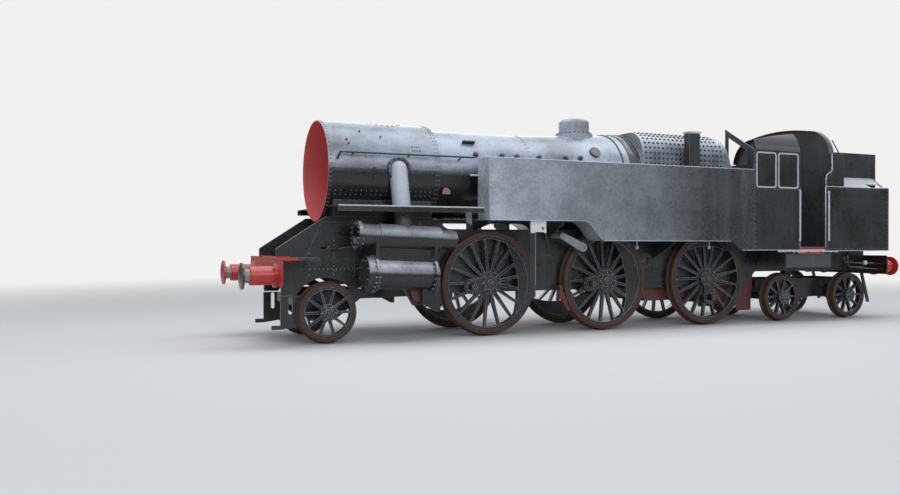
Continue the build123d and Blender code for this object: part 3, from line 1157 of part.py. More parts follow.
# Coal plates: shoulders sloping in from the bunker's sides, plates above them, and a wing at each doorway
shoulder_z = BUNKER_TOP_Z + COAL_SHOULDER_HEIGHT
coal_top_z = BUNKER_TOP_Z + COAL_PLATE_HEIGHT
wing_x = DOOR_BACK_X - WING_SETBACK_LENGTH
wing_foot = (DOOR_BACK_X, BUNKER_TOP_Z + WING_CURVE_FOOT_HEIGHT)
wing_head = (DOOR_BACK_X - WING_CURVE_LENGTH, BUNKER_TOP_Z + WING_CURVE_TOP_HEIGHT)
wing_bulge = Vector(
    (wing_foot[0] + wing_head[0]) / 2 - WING_CURVE_LENGTH / 6,
    (wing_foot[1] + wing_head[1]) / 2 - WING_CURVE_FOOT_HEIGHT / 4,
)
with BuildPart() as coal_plates:
    for side in (1, -1):
        with BuildSketch(Plane.YZ.offset(COAL_PLATE_BACK_X)):
            with BuildLine():
                Polyline(
                    (side * SIDE_Y, BUNKER_TOP_Z),
                    (side * COAL_PLATE_Y, shoulder_z),
                    (side * COAL_PLATE_Y, coal_top_z),
                    (side * (COAL_PLATE_Y - SHEET_THICKNESS), coal_top_z),
                    (side * (COAL_PLATE_Y - SHEET_THICKNESS), shoulder_z - SHEET_THICKNESS),
                    (side * (SIDE_Y - SHEET_THICKNESS), BUNKER_TOP_Z),
                    close=True,
                )
            make_face()
        extrude(amount=COAL_PLATE_FRONT_X - COAL_PLATE_BACK_X)
        with BuildSketch(side_plane(SIDE_Y if side > 0 else SHEET_THICKNESS - SIDE_Y)):
            with BuildLine():
                ThreePointArc(wing_head, wing_bulge, wing_foot)
                Polyline(
                    wing_foot,
                    (DOOR_BACK_X, BUNKER_TOP_Z),
                    (COAL_PLATE_FRONT_X, BUNKER_TOP_Z),
                    (COAL_PLATE_FRONT_X, CANTRAIL_Z),
                    (wing_x, CANTRAIL_Z),
                    wing_head,
                )
            make_face()
        extrude(amount=SHEET_THICKNESS)
        with BuildSketch(Plane.YZ.offset(COAL_PLATE_FRONT_X)):
            with BuildLine():
                Polyline(
                    (side * (COAL_PLATE_Y - SHEET_THICKNESS), BUNKER_TOP_Z),
                    (side * (COAL_PLATE_Y - SHEET_THICKNESS), coal_top_z),
                    (side * COAL_PLATE_Y, coal_top_z),
                    (side * SIDE_Y, CANTRAIL_Z),
                    (side * SIDE_Y, BUNKER_TOP_Z),
                    close=True,
                )
            make_face()
        extrude(amount=SHEET_THICKNESS)
    with BuildSketch(Plane.YZ.offset(COAL_PLATE_BACK_X)):
        with Locations((0, BUNKER_TOP_Z)):
            Rectangle(2 * COAL_PLATE_Y, COAL_PLATE_HEIGHT, align=(Align.CENTER, Align.MIN))
    extrude(amount=SHEET_THICKNESS)
    with BuildSketch(Plane.XY.offset(BUNKER_TOP_Z)):
        with Locations((BUNKER_BACK_X, 0)):
            back_deck = COAL_PLATE_BACK_X - BUNKER_BACK_X + SHEET_THICKNESS
            Rectangle(back_deck, 2 * SIDE_Y, align=(Align.MIN, Align.CENTER))
    extrude(amount=SHEET_THICKNESS)
    hole_front_x = SHOULDER_HOLE_BACK_X + SHOULDER_HOLE_LENGTH
    with BuildSketch(Plane.XY.offset(BUNKER_TOP_Z + SHEET_THICKNESS / 2)):
        with BuildLine():
            Polyline(
                (SHOULDER_HOLE_BACK_X + SHOULDER_HOLE_LEAN_LENGTH, SHOULDER_HOLE_INNER_Y),
                (hole_front_x, SHOULDER_HOLE_INNER_Y),
                (hole_front_x - SHOULDER_HOLE_LEAN_LENGTH, SHOULDER_HOLE_OUTER_Y),
                (COAL_PLATE_BACK_X + SHEET_THICKNESS, SHOULDER_HOLE_OUTER_Y),
                close=True,
            )
        make_face()
    extrude(amount=COAL_SHOULDER_HEIGHT, mode=Mode.SUBTRACT)
coal_plates.part.label = "coal_plates"
export_step(coal_plates.part, "parts/coal_plates.step")

# Cab steps: a panel hung from each doorway sill, with a tread at its foot
panel_length = STEP_PANEL_FRONT_X - STEP_PANEL_BACK_X
with BuildPart() as cab_steps:
    for side in (1, -1):
        with BuildSketch(side_plane(STEP_PANEL_Y if side > 0 else TREAD_THICKNESS - STEP_PANEL_Y)):
            with Locations((STEP_PANEL_BACK_X, STEP_PANEL_BOTTOM_Z)):
                Rectangle(panel_length, SILL_BOTTOM_Z - STEP_PANEL_BOTTOM_Z, align=(Align.MIN, Align.MIN))
        extrude(amount=TREAD_THICKNESS)
        with BuildSketch(Plane.XY.offset(STEP_PANEL_BOTTOM_Z)):
            with Locations((STEP_PANEL_BACK_X, side * (STEP_PANEL_Y - TREAD_DEPTH / 2))):
                Rectangle(panel_length, TREAD_DEPTH, align=(Align.MIN, Align.CENTER))
        extrude(amount=TREAD_THICKNESS)
cab_steps.part.label = "cab_steps"
export_step(cab_steps.part, "parts/cab_steps.step")

# Handrails: along the smokebox on knobs, and upright beside each doorway
rail_rise = atan2(HANDRAIL_Z - BOILER_Z, HANDRAIL_Y)
with BuildPart() as handrails:
    for side in (1, -1):
        with BuildSketch(Plane.YZ.offset(HANDRAIL_BACK_X)):
            with Locations((side * HANDRAIL_Y, HANDRAIL_Z)):
                Circle(HANDRAIL_R)
        extrude(amount=HANDRAIL_FRONT_X - HANDRAIL_BACK_X)
        bend = Vector(HANDRAIL_FRONT_X, side * HANDRAIL_Y, HANDRAIL_Z)
        fall = Vector(HANDRAIL_DROP_LENGTH, -side * HANDRAIL_DROP_WIDTH, -HANDRAIL_DROP_HEIGHT)
        with Locations(bend):
            Sphere(HANDRAIL_R)
        with BuildSketch(Plane(origin=bend, z_dir=fall)):
            Circle(HANDRAIL_R)
        extrude(amount=fall.length)
        for x, seat_r in (
            (HANDRAIL_KNOB_1_X, SMOKEBOX_R),
            (HANDRAIL_KNOB_2_X, SMOKEBOX_R),
            (HANDRAIL_KNOB_3_X, BARREL_FRONT_R),
        ):
            with BuildSketch(barrel_plane(x, side, rail_rise * 180 / pi).offset(seat_r)):
                Circle(HANDRAIL_KNOB_R)
            extrude(amount=HANDRAIL_Y / cos(rail_rise) - seat_r)
        for x in (DOOR_FRONT_X + DOOR_RAIL_INSET_LENGTH, DOOR_BACK_X - DOOR_RAIL_INSET_LENGTH):
            with BuildSketch(Plane.XY.offset(DOOR_RAIL_BOTTOM_Z)):
                with Locations((x, side * DOOR_RAIL_Y)):
                    Circle(HANDRAIL_R)
            extrude(amount=DOOR_RAIL_TOP_Z - DOOR_RAIL_BOTTOM_Z)
            for z in (DOOR_RAIL_BOTTOM_Z, DOOR_RAIL_TOP_Z):
                with BuildSketch(side_plane(side * SIDE_Y)):
                    with Locations((x, z)):
                        Circle(HANDRAIL_KNOB_R)
                extrude(amount=side * (SIDE_Y - DOOR_RAIL_Y))
                with Locations((x, side * DOOR_RAIL_Y, z)):
                    Sphere(HANDRAIL_R)
handrails.part.label = "handrails"
export_step(handrails.part, "parts/handrails.step")

# Motion brackets: plates under the tanks that carried the valve gear, each with a link strap and a leg
plate_back_x = MOTION_PLATE_FRONT_X - MOTION_PLATE_LENGTH
link_back_x = LINK_FRONT_X - LINK_WIDTH
leg_foot_x = plate_back_x - LEG_LEAN_LENGTH
with BuildPart() as motion_brackets:
    for side in (1, -1):
        with BuildSketch(side_plane(MOTION_Y if side > 0 else MOTION_PLATE_WIDTH - MOTION_Y)):
            with Locations((MOTION_PLATE_FRONT_X, MOTION_PLATE_BOTTOM_Z)):
                plate_height = TANK_BOTTOM_FRONT_Z - MOTION_PLATE_BOTTOM_Z
                Rectangle(MOTION_PLATE_LENGTH, plate_height, align=(Align.MAX, Align.MIN))
            with BuildLine():
                Polyline(
                    (LINK_FRONT_X, TANK_BOTTOM_FRONT_Z),
                    (LINK_FRONT_X, LINK_BEND_Z),
                    (LINK_FRONT_X + LINK_BEND_LENGTH, LINK_BEND_Z - LINK_BEND_HEIGHT),
                    (LINK_FRONT_X + LINK_BEND_LENGTH, LINK_BEND_Z - LINK_BEND_HEIGHT - LINK_FOOT_LENGTH),
                    (link_back_x, LINK_BEND_Z - LINK_FOOT_LENGTH),
                    (link_back_x, TANK_BOTTOM_FRONT_Z),
                    close=True,
                )
            make_face()
            with BuildLine():
                Polyline(
                    (plate_back_x + LEG_WIDTH, MOTION_PLATE_BOTTOM_Z),
                    (leg_foot_x + LEG_WIDTH, LEG_BOTTOM_Z),
                    (leg_foot_x, LEG_BOTTOM_Z),
                    (plate_back_x, MOTION_PLATE_BOTTOM_Z),
                    close=True,
                )
            make_face()
            with Locations((leg_foot_x, LEG_BOTTOM_Z)):
                Rectangle(link_back_x - leg_foot_x, LEG_BAR_HEIGHT, align=(Align.MIN, Align.MIN))
            hole_z = MOTION_PLATE_BOTTOM_Z + MOTION_HOLE_INSET_LENGTH
            with Locations((plate_back_x + MOTION_HOLE_INSET_LENGTH, hole_z)):
                Circle(MOTION_HOLE_R, mode=Mode.SUBTRACT)
        extrude(amount=MOTION_PLATE_WIDTH)
motion_brackets.part.label = "motion_brackets"
export_step(motion_brackets.part, "parts/motion_brackets.step")

# Reversing arms: one lever on each side, left hanging from the weighshaft
arm_run = Vector(ARM_FOOT_X - ARM_TOP_X, ARM_FOOT_Z - ARM_TOP_Z)
arm_square = Vector(-arm_run.Y, arm_run.X).normalized()
arm_top = Vector(ARM_TOP_X, ARM_TOP_Z)
arm_foot = Vector(ARM_FOOT_X, ARM_FOOT_Z)
with BuildPart() as reversing_arms:
    for side in (1, -1):
        with BuildSketch(side_plane(ARM_Y if side > 0 else ARM_PLATE_WIDTH - ARM_Y)):
            with Locations(arm_top):
                Circle(ARM_SMALL_R)
            with Locations(arm_foot):
                Circle(ARM_BIG_R)
            with BuildLine():
                Polyline(
                    arm_top + arm_square * ARM_SMALL_R,
                    arm_top - arm_square * ARM_SMALL_R,
                    arm_foot - arm_square * ARM_BIG_R,
                    arm_foot + arm_square * ARM_BIG_R,
                    close=True,
                )
            make_face()
        extrude(amount=ARM_PLATE_WIDTH)
        with BuildSketch(side_plane(side * FRAME_OUTSIDE_Y)):
            with Locations(arm_top):
                Circle(ARM_SHAFT_R)
        extrude(amount=-side * (ARM_Y - ARM_PLATE_WIDTH - FRAME_OUTSIDE_Y))
reversing_arms.part.label = "reversing_arms"
export_step(reversing_arms.part, "parts/reversing_arms.step")

# Tank fittings: an upright duct with a cap beside the firebox on each tank
with BuildPart() as tank_fittings:
    for side in (1, -1):
        duct_y = side * (TANK_INNER_Y + DUCT_CAP_WIDTH / 2)
        with Locations((DUCT_X, duct_y, TANK_TOP_Z)):
            Box(DUCT_WIDTH, DUCT_DEPTH, DUCT_TOP_Z - TANK_TOP_Z, align=upright)
        with Locations((DUCT_X, duct_y, DUCT_TOP_Z)):
            Box(DUCT_CAP_WIDTH, DUCT_DEPTH + DUCT_CAP_WIDTH - DUCT_WIDTH, DUCT_CAP_HEIGHT, align=upright)
tank_fittings.part.label = "tank_fittings"
export_step(tank_fittings.part, "parts/tank_fittings.step")

# Boiler fittings: lifting lugs on the front ring, clack pads on the taper and a flange on the near side
taper_angle = atan2(BARREL_BACK_R - BARREL_FRONT_R, TAPER_START_X - FIREBOX_FRONT_X)
with BuildPart() as boiler_fittings:
    for side in (1, -1):
        with BuildSketch(barrel_plane(LIFTING_LUG_X, side, LIFTING_LUG_ANGLE)):
            Rectangle(LIFTING_LUG_LENGTH, LIFTING_LUG_THICKNESS)
        extrude(amount=BARREL_FRONT_R + LIFTING_LUG_HEIGHT)
        clack_r = BARREL_FRONT_R + (TAPER_START_X - CLACK_X) * tan(taper_angle)
        with BuildSketch(barrel_plane(CLACK_X, side, CLACK_ANGLE)):
            Circle(CLACK_PAD_R)
        extrude(amount=clack_r + CLACK_PAD_DEPTH)
    with BuildSketch(barrel_plane(SIDE_FLANGE_X, 1, SIDE_FLANGE_ANGLE)):
        Circle(SIDE_FLANGE_R)
    extrude(amount=BARREL_FRONT_R + SIDE_FLANGE_DEPTH)
    add(boiler_barrel.part, mode=Mode.SUBTRACT)
boiler_fittings.part.label = "boiler_fittings"
export_step(boiler_fittings.part, "parts/boiler_fittings.step")

# Brake gear: the one block left on each side, in front of the middle driving wheels, hung from the frame
block_r = DRIVER_TREAD_R + BRAKE_BLOCK_GAP
block_back_r = block_r + BRAKE_BLOCK_THICKNESS
block_x = DRIVER_2_X + sqrt(block_back_r**2 - (DRIVER_Z - BRAKE_BLOCK_TOP_Z) ** 2)
with BuildPart() as brake_gear:
    for side in (1, -1):
        block_y = BRAKE_BLOCK_Y + BRAKE_BLOCK_WIDTH / 2
        with BuildSketch(side_plane(block_y if side > 0 else BRAKE_BLOCK_WIDTH - block_y)):
            with Locations((DRIVER_2_X, DRIVER_Z)):
                Circle(block_back_r)
                Circle(block_r, mode=Mode.SUBTRACT)
            with Locations((DRIVER_2_X, BRAKE_BLOCK_BOTTOM_Z)):
                block_height = BRAKE_BLOCK_TOP_Z - BRAKE_BLOCK_BOTTOM_Z
                ahead = (Align.MIN, Align.MIN)
                Rectangle(2 * block_r, block_height, align=ahead, mode=Mode.INTERSECT)
        extrude(amount=BRAKE_BLOCK_WIDTH)
        with BuildSketch(side_plane(block_y if side > 0 else BRAKE_HANGER_THICKNESS - block_y)):
            with Locations((block_x, BRAKE_BLOCK_TOP_Z - BRAKE_HANGER_LAP_HEIGHT)):
                hanger_height = BRAKE_PIVOT_Z - BRAKE_BLOCK_TOP_Z + BRAKE_HANGER_LAP_HEIGHT
                Rectangle(BRAKE_HANGER_WIDTH, hanger_height, align=(Align.CENTER, Align.MIN))
            with Locations((block_x, BRAKE_PIVOT_Z)):
                Circle(BRAKE_HANGER_WIDTH / 2)
        extrude(amount=BRAKE_HANGER_THICKNESS)
        with BuildSketch(side_plane(side * FRAME_OUTSIDE_Y)):
            with Locations((block_x, BRAKE_PIVOT_Z)):
                Circle(BRAKE_PIVOT_R)
        extrude(amount=-side * (block_y - FRAME_OUTSIDE_Y))
brake_gear.part.label = "brake_gear"
export_step(brake_gear.part, "parts/brake_gear.step")

# Wheels: a spoked centre and a shrunk tyre on each end of every axle
DRIVER_TYRE_SEAT_R = DRIVER_TREAD_R - TYRE_DEPTH
TRUCK_TYRE_SEAT_R = TRUCK_TREAD_R - TRUCK_TYRE_DEPTH


def outer_face(side, left_depth, right_depth):
    """Where a wheel sketch starts, for a piece measured out from the inner face of the tyre."""
    return WHEEL_BACK_Y + left_depth if side > 0 else -WHEEL_BACK_Y - right_depth


def tyre_pair(x, z, seat_r, tread_r):
    """The two tyres of an axle, their flanges towards the middle of the engine."""
    with BuildPart() as rings:
        for side in (1, -1):
            with BuildSketch(Plane(origin=(x, side * WHEEL_BACK_Y, z), x_dir=(1, 0, 0), z_dir=(0, 0, side))):
                with BuildLine():
                    Polyline(
                        (seat_r, 0),
                        (tread_r + FLANGE_HEIGHT, 0),
                        (tread_r + FLANGE_HEIGHT, FLANGE_CREST_WIDTH),
                        (tread_r, FLANGE_WIDTH),
                        (tread_r, TYRE_WIDTH),
                        (seat_r, TYRE_WIDTH),
                        close=True,
                    )
                make_face()
            revolve(axis=Axis((x, 0, z), (0, 1, 0)))
    return rings.part


def spoked_centre(side, x, z, seat_r, rim_depth, hub_r, bore_r, spokes, foot_width, tip_width):
    """One wheel centre: rim, tapered spokes and a hub bored for the axle."""
    rim_inner_r = seat_r - rim_depth
    rim_y = outer_face(side, TYRE_WIDTH - RIM_INSET_WIDTH, RIM_INSET_WIDTH)
    spoke_y = outer_face(side, TYRE_WIDTH - SPOKE_INSET_WIDTH, SPOKE_INSET_WIDTH)
    hub_y = outer_face(side, HUB_WIDTH, 0)
    spoke_start = hub_r - SPOKE_LAP_LENGTH
    spoke_end = rim_inner_r + SPOKE_LAP_LENGTH
    with BuildPart() as centre:
        with BuildSketch(wheel_plane(x, rim_y, z)):
            Circle(seat_r)
            Circle(rim_inner_r, mode=Mode.SUBTRACT)
        extrude(amount=TYRE_WIDTH - 2 * RIM_INSET_WIDTH)
        with BuildSketch(wheel_plane(x, spoke_y, z)):
            with BuildSketch(mode=Mode.PRIVATE) as spoke:
                with BuildLine():
                    Polyline(
                        (spoke_start, -foot_width / 2),
                        (spoke_end, -tip_width / 2),
                        (spoke_end, tip_width / 2),
                        (spoke_start, foot_width / 2),
                        close=True,
                    )
                make_face()
            with PolarLocations(0, spokes):
                add(spoke.sketch)
        extrude(amount=TYRE_WIDTH - 2 * SPOKE_INSET_WIDTH)
        with BuildSketch(wheel_plane(x, hub_y, z)):
            Circle(hub_r)
            Circle(bore_r, mode=Mode.SUBTRACT)
        extrude(amount=HUB_WIDTH)
    return centre.part


# driver columns: name, axle X, crank angle on the left side from forward, depth of the balance weight
DRIVERS = [
    ("driver_1", DRIVER_1_X, MAIN_CRANK_ANGLE, FRONT_WEIGHT_DEPTH),
    ("driver_2", DRIVER_2_X, MAIN_CRANK_ANGLE, MAIN_WEIGHT_DEPTH),
    ("driver_3", DRIVER_3_X, REAR_CRANK_ANGLE, REAR_WEIGHT_DEPTH),
]
driver_rim_inner_r = DRIVER_TYRE_SEAT_R - DRIVER_RIM_DEPTH
for name, axle_x, crank_angle, weight_depth in DRIVERS:
    bare_centres = [
        spoked_centre(
            side, axle_x, DRIVER_Z, DRIVER_TYRE_SEAT_R, DRIVER_RIM_DEPTH, DRIVER_HUB_R, DRIVER_AXLE_R,
            DRIVER_SPOKES, DRIVER_SPOKE_FOOT_WIDTH, DRIVER_SPOKE_TIP_WIDTH,
        )
        for side in (1, -1)
    ]
    with BuildPart() as centres:
        add(bare_centres)
        for side in (1, -1):
            turn = crank_angle if side > 0 else crank_angle + QUARTER_TURN_ANGLE
            with BuildSketch(wheel_plane(axle_x, outer_face(side, HUB_WIDTH, 0), DRIVER_Z)):
                with PolarLocations(CRANK_THROW_R, 1, start_angle=turn):
                    Circle(CRANK_BOSS_R)
                with PolarLocations(CRANK_THROW_R / 2, 1, start_angle=turn):
                    Rectangle(CRANK_THROW_R, 2 * CRANK_WEB_HALF_WIDTH)
            extrude(amount=HUB_WIDTH)
            with BuildSketch(wheel_plane(axle_x, outer_face(side, HUB_WIDTH, 0), DRIVER_Z)):
                Circle(DRIVER_AXLE_R)
                with PolarLocations(CRANK_THROW_R, 1, start_angle=turn):
                    Circle(CRANK_SEAT_R)
            extrude(amount=HUB_WIDTH, mode=Mode.SUBTRACT)
            weight_y = outer_face(side, TYRE_WIDTH - WEIGHT_INSET_WIDTH, WEIGHT_INSET_WIDTH)
            with BuildSketch(wheel_plane(axle_x, weight_y, DRIVER_Z)):
                Circle(driver_rim_inner_r + SPOKE_LAP_LENGTH)
                edge_reach = WEIGHT_EDGE_R - driver_rim_inner_r + weight_depth
                with PolarLocations(edge_reach, 1, start_angle=turn):
                    Circle(WEIGHT_EDGE_R, mode=Mode.SUBTRACT)
            extrude(amount=TYRE_WIDTH - 2 * WEIGHT_INSET_WIDTH)
    centres.part.label = f"{name}_centres"
    export_step(centres.part, f"parts/{name}_centres.step")

    tyres = tyre_pair(axle_x, DRIVER_Z, DRIVER_TYRE_SEAT_R, DRIVER_TREAD_R)
    tyres.label = f"{name}_tyres"
    export_step(tyres, f"parts/{name}_tyres.step")

    with BuildPart() as axle:
        with Locations((axle_x, 0, DRIVER_Z)):
            Cylinder(DRIVER_AXLE_R, 2 * (WHEEL_BACK_Y + HUB_WIDTH), rotation=(90, 0, 0))
        for side in (1, -1):
            turn = crank_angle if side > 0 else crank_angle + QUARTER_TURN_ANGLE
            with BuildSketch(wheel_plane(axle_x, outer_face(side, HUB_WIDTH, 0), DRIVER_Z)):
                with PolarLocations(CRANK_THROW_R, 1, start_angle=turn):
                    Circle(CRANK_SEAT_R)
            extrude(amount=HUB_WIDTH)
            pin_y = outer_face(side, HUB_WIDTH + CRANK_PIN_LENGTH, HUB_WIDTH)
            with BuildSketch(wheel_plane(axle_x, pin_y, DRIVER_Z)):
                with PolarLocations(CRANK_THROW_R, 1, start_angle=turn):
                    Circle(CRANK_PIN_R)
            extrude(amount=CRANK_PIN_LENGTH)
    axle.part.label = f"{name}_axle"
    export_step(axle.part, f"parts/{name}_axle.step")

# truck axle columns: name, axle X
TRUCK_AXLES = [
    ("pony", PONY_X),
    ("bogie_front", BOGIE_FRONT_X),
    ("bogie_rear", BOGIE_REAR_X),
]
for name, axle_x in TRUCK_AXLES:
    truck_centres = [
        spoked_centre(
            side, axle_x, TRUCK_Z, TRUCK_TYRE_SEAT_R, TRUCK_RIM_DEPTH, TRUCK_HUB_R, TRUCK_AXLE_R,
            TRUCK_SPOKES, TRUCK_SPOKE_FOOT_WIDTH, TRUCK_SPOKE_TIP_WIDTH,
        )
        for side in (1, -1)
    ]
    with BuildPart() as centres:
        add(truck_centres)
    centres.part.label = f"{name}_centres"
    export_step(centres.part, f"parts/{name}_centres.step")

    tyres = tyre_pair(axle_x, TRUCK_Z, TRUCK_TYRE_SEAT_R, TRUCK_TREAD_R)
    tyres.label = f"{name}_tyres"
    export_step(tyres, f"parts/{name}_tyres.step")

    with BuildPart() as axle:
        with Locations((axle_x, 0, TRUCK_Z)):
            Cylinder(TRUCK_AXLE_R, 2 * (WHEEL_BACK_Y + HUB_WIDTH), rotation=(90, 0, 0))
    axle.part.label = f"{name}_axle"
    export_step(axle.part, f"parts/{name}_axle.step")

# Pony truck: two inside plates on the axle, drawn in to an eye on the pivot pin, with guard irons
pony_tail_x = PONY_X - PONY_TAIL_LENGTH
pony_nose_x = PONY_X + PONY_NOSE_LENGTH
tail_bottom_z = TRUCK_FRAME_TOP_Z - PONY_TAIL_HEIGHT
tail_stay_x = pony_tail_x + TRUCK_STAY_LENGTH
with BuildPart() as pony_frame:
    for y in (TRUCK_FRAME_Y, TRUCK_PLATE_WIDTH - TRUCK_FRAME_Y):
        with BuildSketch(side_plane(y)):
            with BuildLine():
                Polyline(
                    (pony_nose_x, PONY_NOSE_BOTTOM_Z),
                    (pony_nose_x, PONY_NOSE_TOP_Z),
                    (PONY_NOSE_FOOT_X, PONY_NOSE_TOP_Z),
                    (PONY_NOSE_DROP_X, TRUCK_FRAME_TOP_Z),
                    (pony_tail_x, TRUCK_FRAME_TOP_Z),
                    (pony_tail_x, tail_bottom_z),
                    (PONY_X - TRUCK_BEARING_HALF_LENGTH, TRUCK_FRAME_BOTTOM_Z),
                    (PONY_X + TRUCK_BEARING_HALF_LENGTH, TRUCK_FRAME_BOTTOM_Z),
                    close=True,
                )
            make_face()
            with Locations((PONY_X, TRUCK_Z)):
                Circle(TRUCK_AXLE_R + BEARING_GAP, mode=Mode.SUBTRACT)
        extrude(amount=TRUCK_PLATE_WIDTH)
    with Locations((pony_nose_x, 0, PONY_NOSE_BOTTOM_Z)):
        bar_height = PONY_NOSE_TOP_Z - PONY_NOSE_BOTTOM_Z
        Box(TRUCK_STAY_LENGTH, 2 * GUARD_Y, bar_height, align=(Align.MAX, Align.CENTER, Align.MIN))
    with Locations((pony_tail_x, 0, tail_bottom_z)):
        across = (Align.MIN, Align.CENTER, Align.MIN)
        Box(TRUCK_STAY_LENGTH, 2 * TRUCK_FRAME_Y, PONY_TAIL_HEIGHT, align=across)
    with BuildSketch(Plane.XY.offset(tail_bottom_z)):
        with BuildLine():
            Polyline(
                (tail_stay_x, TRUCK_FRAME_Y),
                (PONY_PIVOT_X, PIVOT_EYE_R),
                (PONY_PIVOT_X, -PIVOT_EYE_R),
                (tail_stay_x, -TRUCK_FRAME_Y),
                (tail_stay_x, PONY_ARM_WIDTH - TRUCK_FRAME_Y),
                (PONY_PIVOT_X + 2 * PIVOT_EYE_R, 0),
                (tail_stay_x, TRUCK_FRAME_Y - PONY_ARM_WIDTH),
                close=True,
            )
        make_face()
        with Locations((PONY_PIVOT_X, 0)):
            Circle(PIVOT_EYE_R)
            Circle(PIVOT_PIN_R + BEARING_GAP, mode=Mode.SUBTRACT)
    extrude(amount=PIVOT_EYE_HEIGHT)
    for y in (GUARD_Y, TRUCK_PLATE_WIDTH - GUARD_Y):
        with BuildSketch(side_plane(y)):
            with BuildLine():
                Polyline(
                    (GUARD_BACK_X, PONY_NOSE_TOP_Z),
                    (GUARD_FRONT_X, PONY_NOSE_TOP_Z),
                    (GUARD_FRONT_X, GUARD_TOE_TOP_Z),
                    (GUARD_TOE_X, GUARD_TOE_TOP_Z),
                    (GUARD_TOE_X, GUARD_TOE_BOTTOM_Z),
                    (GUARD_FRONT_X, GUARD_TOE_BOTTOM_Z),
                    (GUARD_BACK_X, GUARD_FOOT_Z),
                    close=True,
                )
            make_face()
            with Locations(((GUARD_BACK_X + GUARD_FRONT_X) / 2, GUARD_SLOT_Z)):
                SlotOverall(GUARD_SLOT_LENGTH, GUARD_SLOT_WIDTH, rotation=90, mode=Mode.SUBTRACT)
        extrude(amount=TRUCK_PLATE_WIDTH)
pony_frame.part.label = "pony_frame"
export_step(pony_frame.part, "parts/pony_frame.step")

# Bogie: inside plates, cross stays and a centre casting bored for the pin
nose_bottom_z = TRUCK_FRAME_TOP_Z - TRUCK_STAY_HEIGHT
waist_z = TRUCK_FRAME_BOTTOM_Z + BOGIE_RISE_HEIGHT
with BuildPart() as bogie_frame:
    for y in (TRUCK_FRAME_Y, TRUCK_PLATE_WIDTH - TRUCK_FRAME_Y):
        with BuildSketch(side_plane(y)):
            with BuildLine():
                Polyline(
                    (BOGIE_FRONT_X + BOGIE_NOSE_LENGTH, TRUCK_FRAME_TOP_Z),
                    (BOGIE_REAR_X - BOGIE_NOSE_LENGTH, TRUCK_FRAME_TOP_Z),
                    (BOGIE_REAR_X - BOGIE_NOSE_LENGTH, nose_bottom_z),
                    (BOGIE_REAR_X - TRUCK_BEARING_HALF_LENGTH, TRUCK_FRAME_BOTTOM_Z),
                    (BOGIE_REAR_X + TRUCK_BEARING_HALF_LENGTH, TRUCK_FRAME_BOTTOM_Z),
                    (BOGIE_REAR_X + TRUCK_BEARING_HALF_LENGTH + BOGIE_RISE_HEIGHT, waist_z),
                    (BOGIE_FRONT_X - TRUCK_BEARING_HALF_LENGTH - BOGIE_RISE_HEIGHT, waist_z),
                    (BOGIE_FRONT_X - TRUCK_BEARING_HALF_LENGTH, TRUCK_FRAME_BOTTOM_Z),
                    (BOGIE_FRONT_X + TRUCK_BEARING_HALF_LENGTH, TRUCK_FRAME_BOTTOM_Z),
                    (BOGIE_FRONT_X + BOGIE_NOSE_LENGTH, nose_bottom_z),
                    close=True,
                )
            make_face()
            with Locations((BOGIE_FRONT_X, TRUCK_Z), (BOGIE_REAR_X, TRUCK_Z)):
                Circle(TRUCK_AXLE_R + BEARING_GAP, mode=Mode.SUBTRACT)
        extrude(amount=TRUCK_PLATE_WIDTH)
    for x, along in (
        (BOGIE_FRONT_X + BOGIE_NOSE_LENGTH, Align.MAX),
        (BOGIE_REAR_X - BOGIE_NOSE_LENGTH, Align.MIN),
    ):
        with Locations((x, 0, nose_bottom_z)):
            stay_align = (along, Align.CENTER, Align.MIN)
            Box(TRUCK_STAY_LENGTH, 2 * TRUCK_FRAME_Y, TRUCK_STAY_HEIGHT, align=stay_align)
    with BuildSketch(Plane.XY.offset(TRUCK_FRAME_TOP_Z - BOGIE_CENTRE_HEIGHT)):
        with Locations((BOGIE_CENTRE_X, 0)):
            Rectangle(BOGIE_CENTRE_LENGTH, 2 * TRUCK_FRAME_Y)
            Circle(PIVOT_PIN_R + BEARING_GAP, mode=Mode.SUBTRACT)
    extrude(amount=BOGIE_CENTRE_HEIGHT)
bogie_frame.part.label = "bogie_frame"
export_step(bogie_frame.part, "parts/bogie_frame.step")
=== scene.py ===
# %% [markdown]
# A side tank steam locomotive, stripped for repair.
#
# The engine has lost its chimney, its smokebox door and its rods. Its paint has gone pale and
# chalky where the sky sees it, and is dark and oily below; where it faces the sky the colour also
# holds a painted reflection of the sky. The solid parts come ready made, so this lesson adds what
# a camera sees on them: paint, rust, and the rivets, studs, nuts and beading that tell the eye how
# big the engine is.
#
# First the imported model is loaded. Its parts already stand in place, in metres, and ride on
# named bodies: the engine, each pair of wheels, the leading truck and the bogie.

# %% Load the imported engine
import json
import random
from math import cos, pi, radians, sin, sqrt, tau

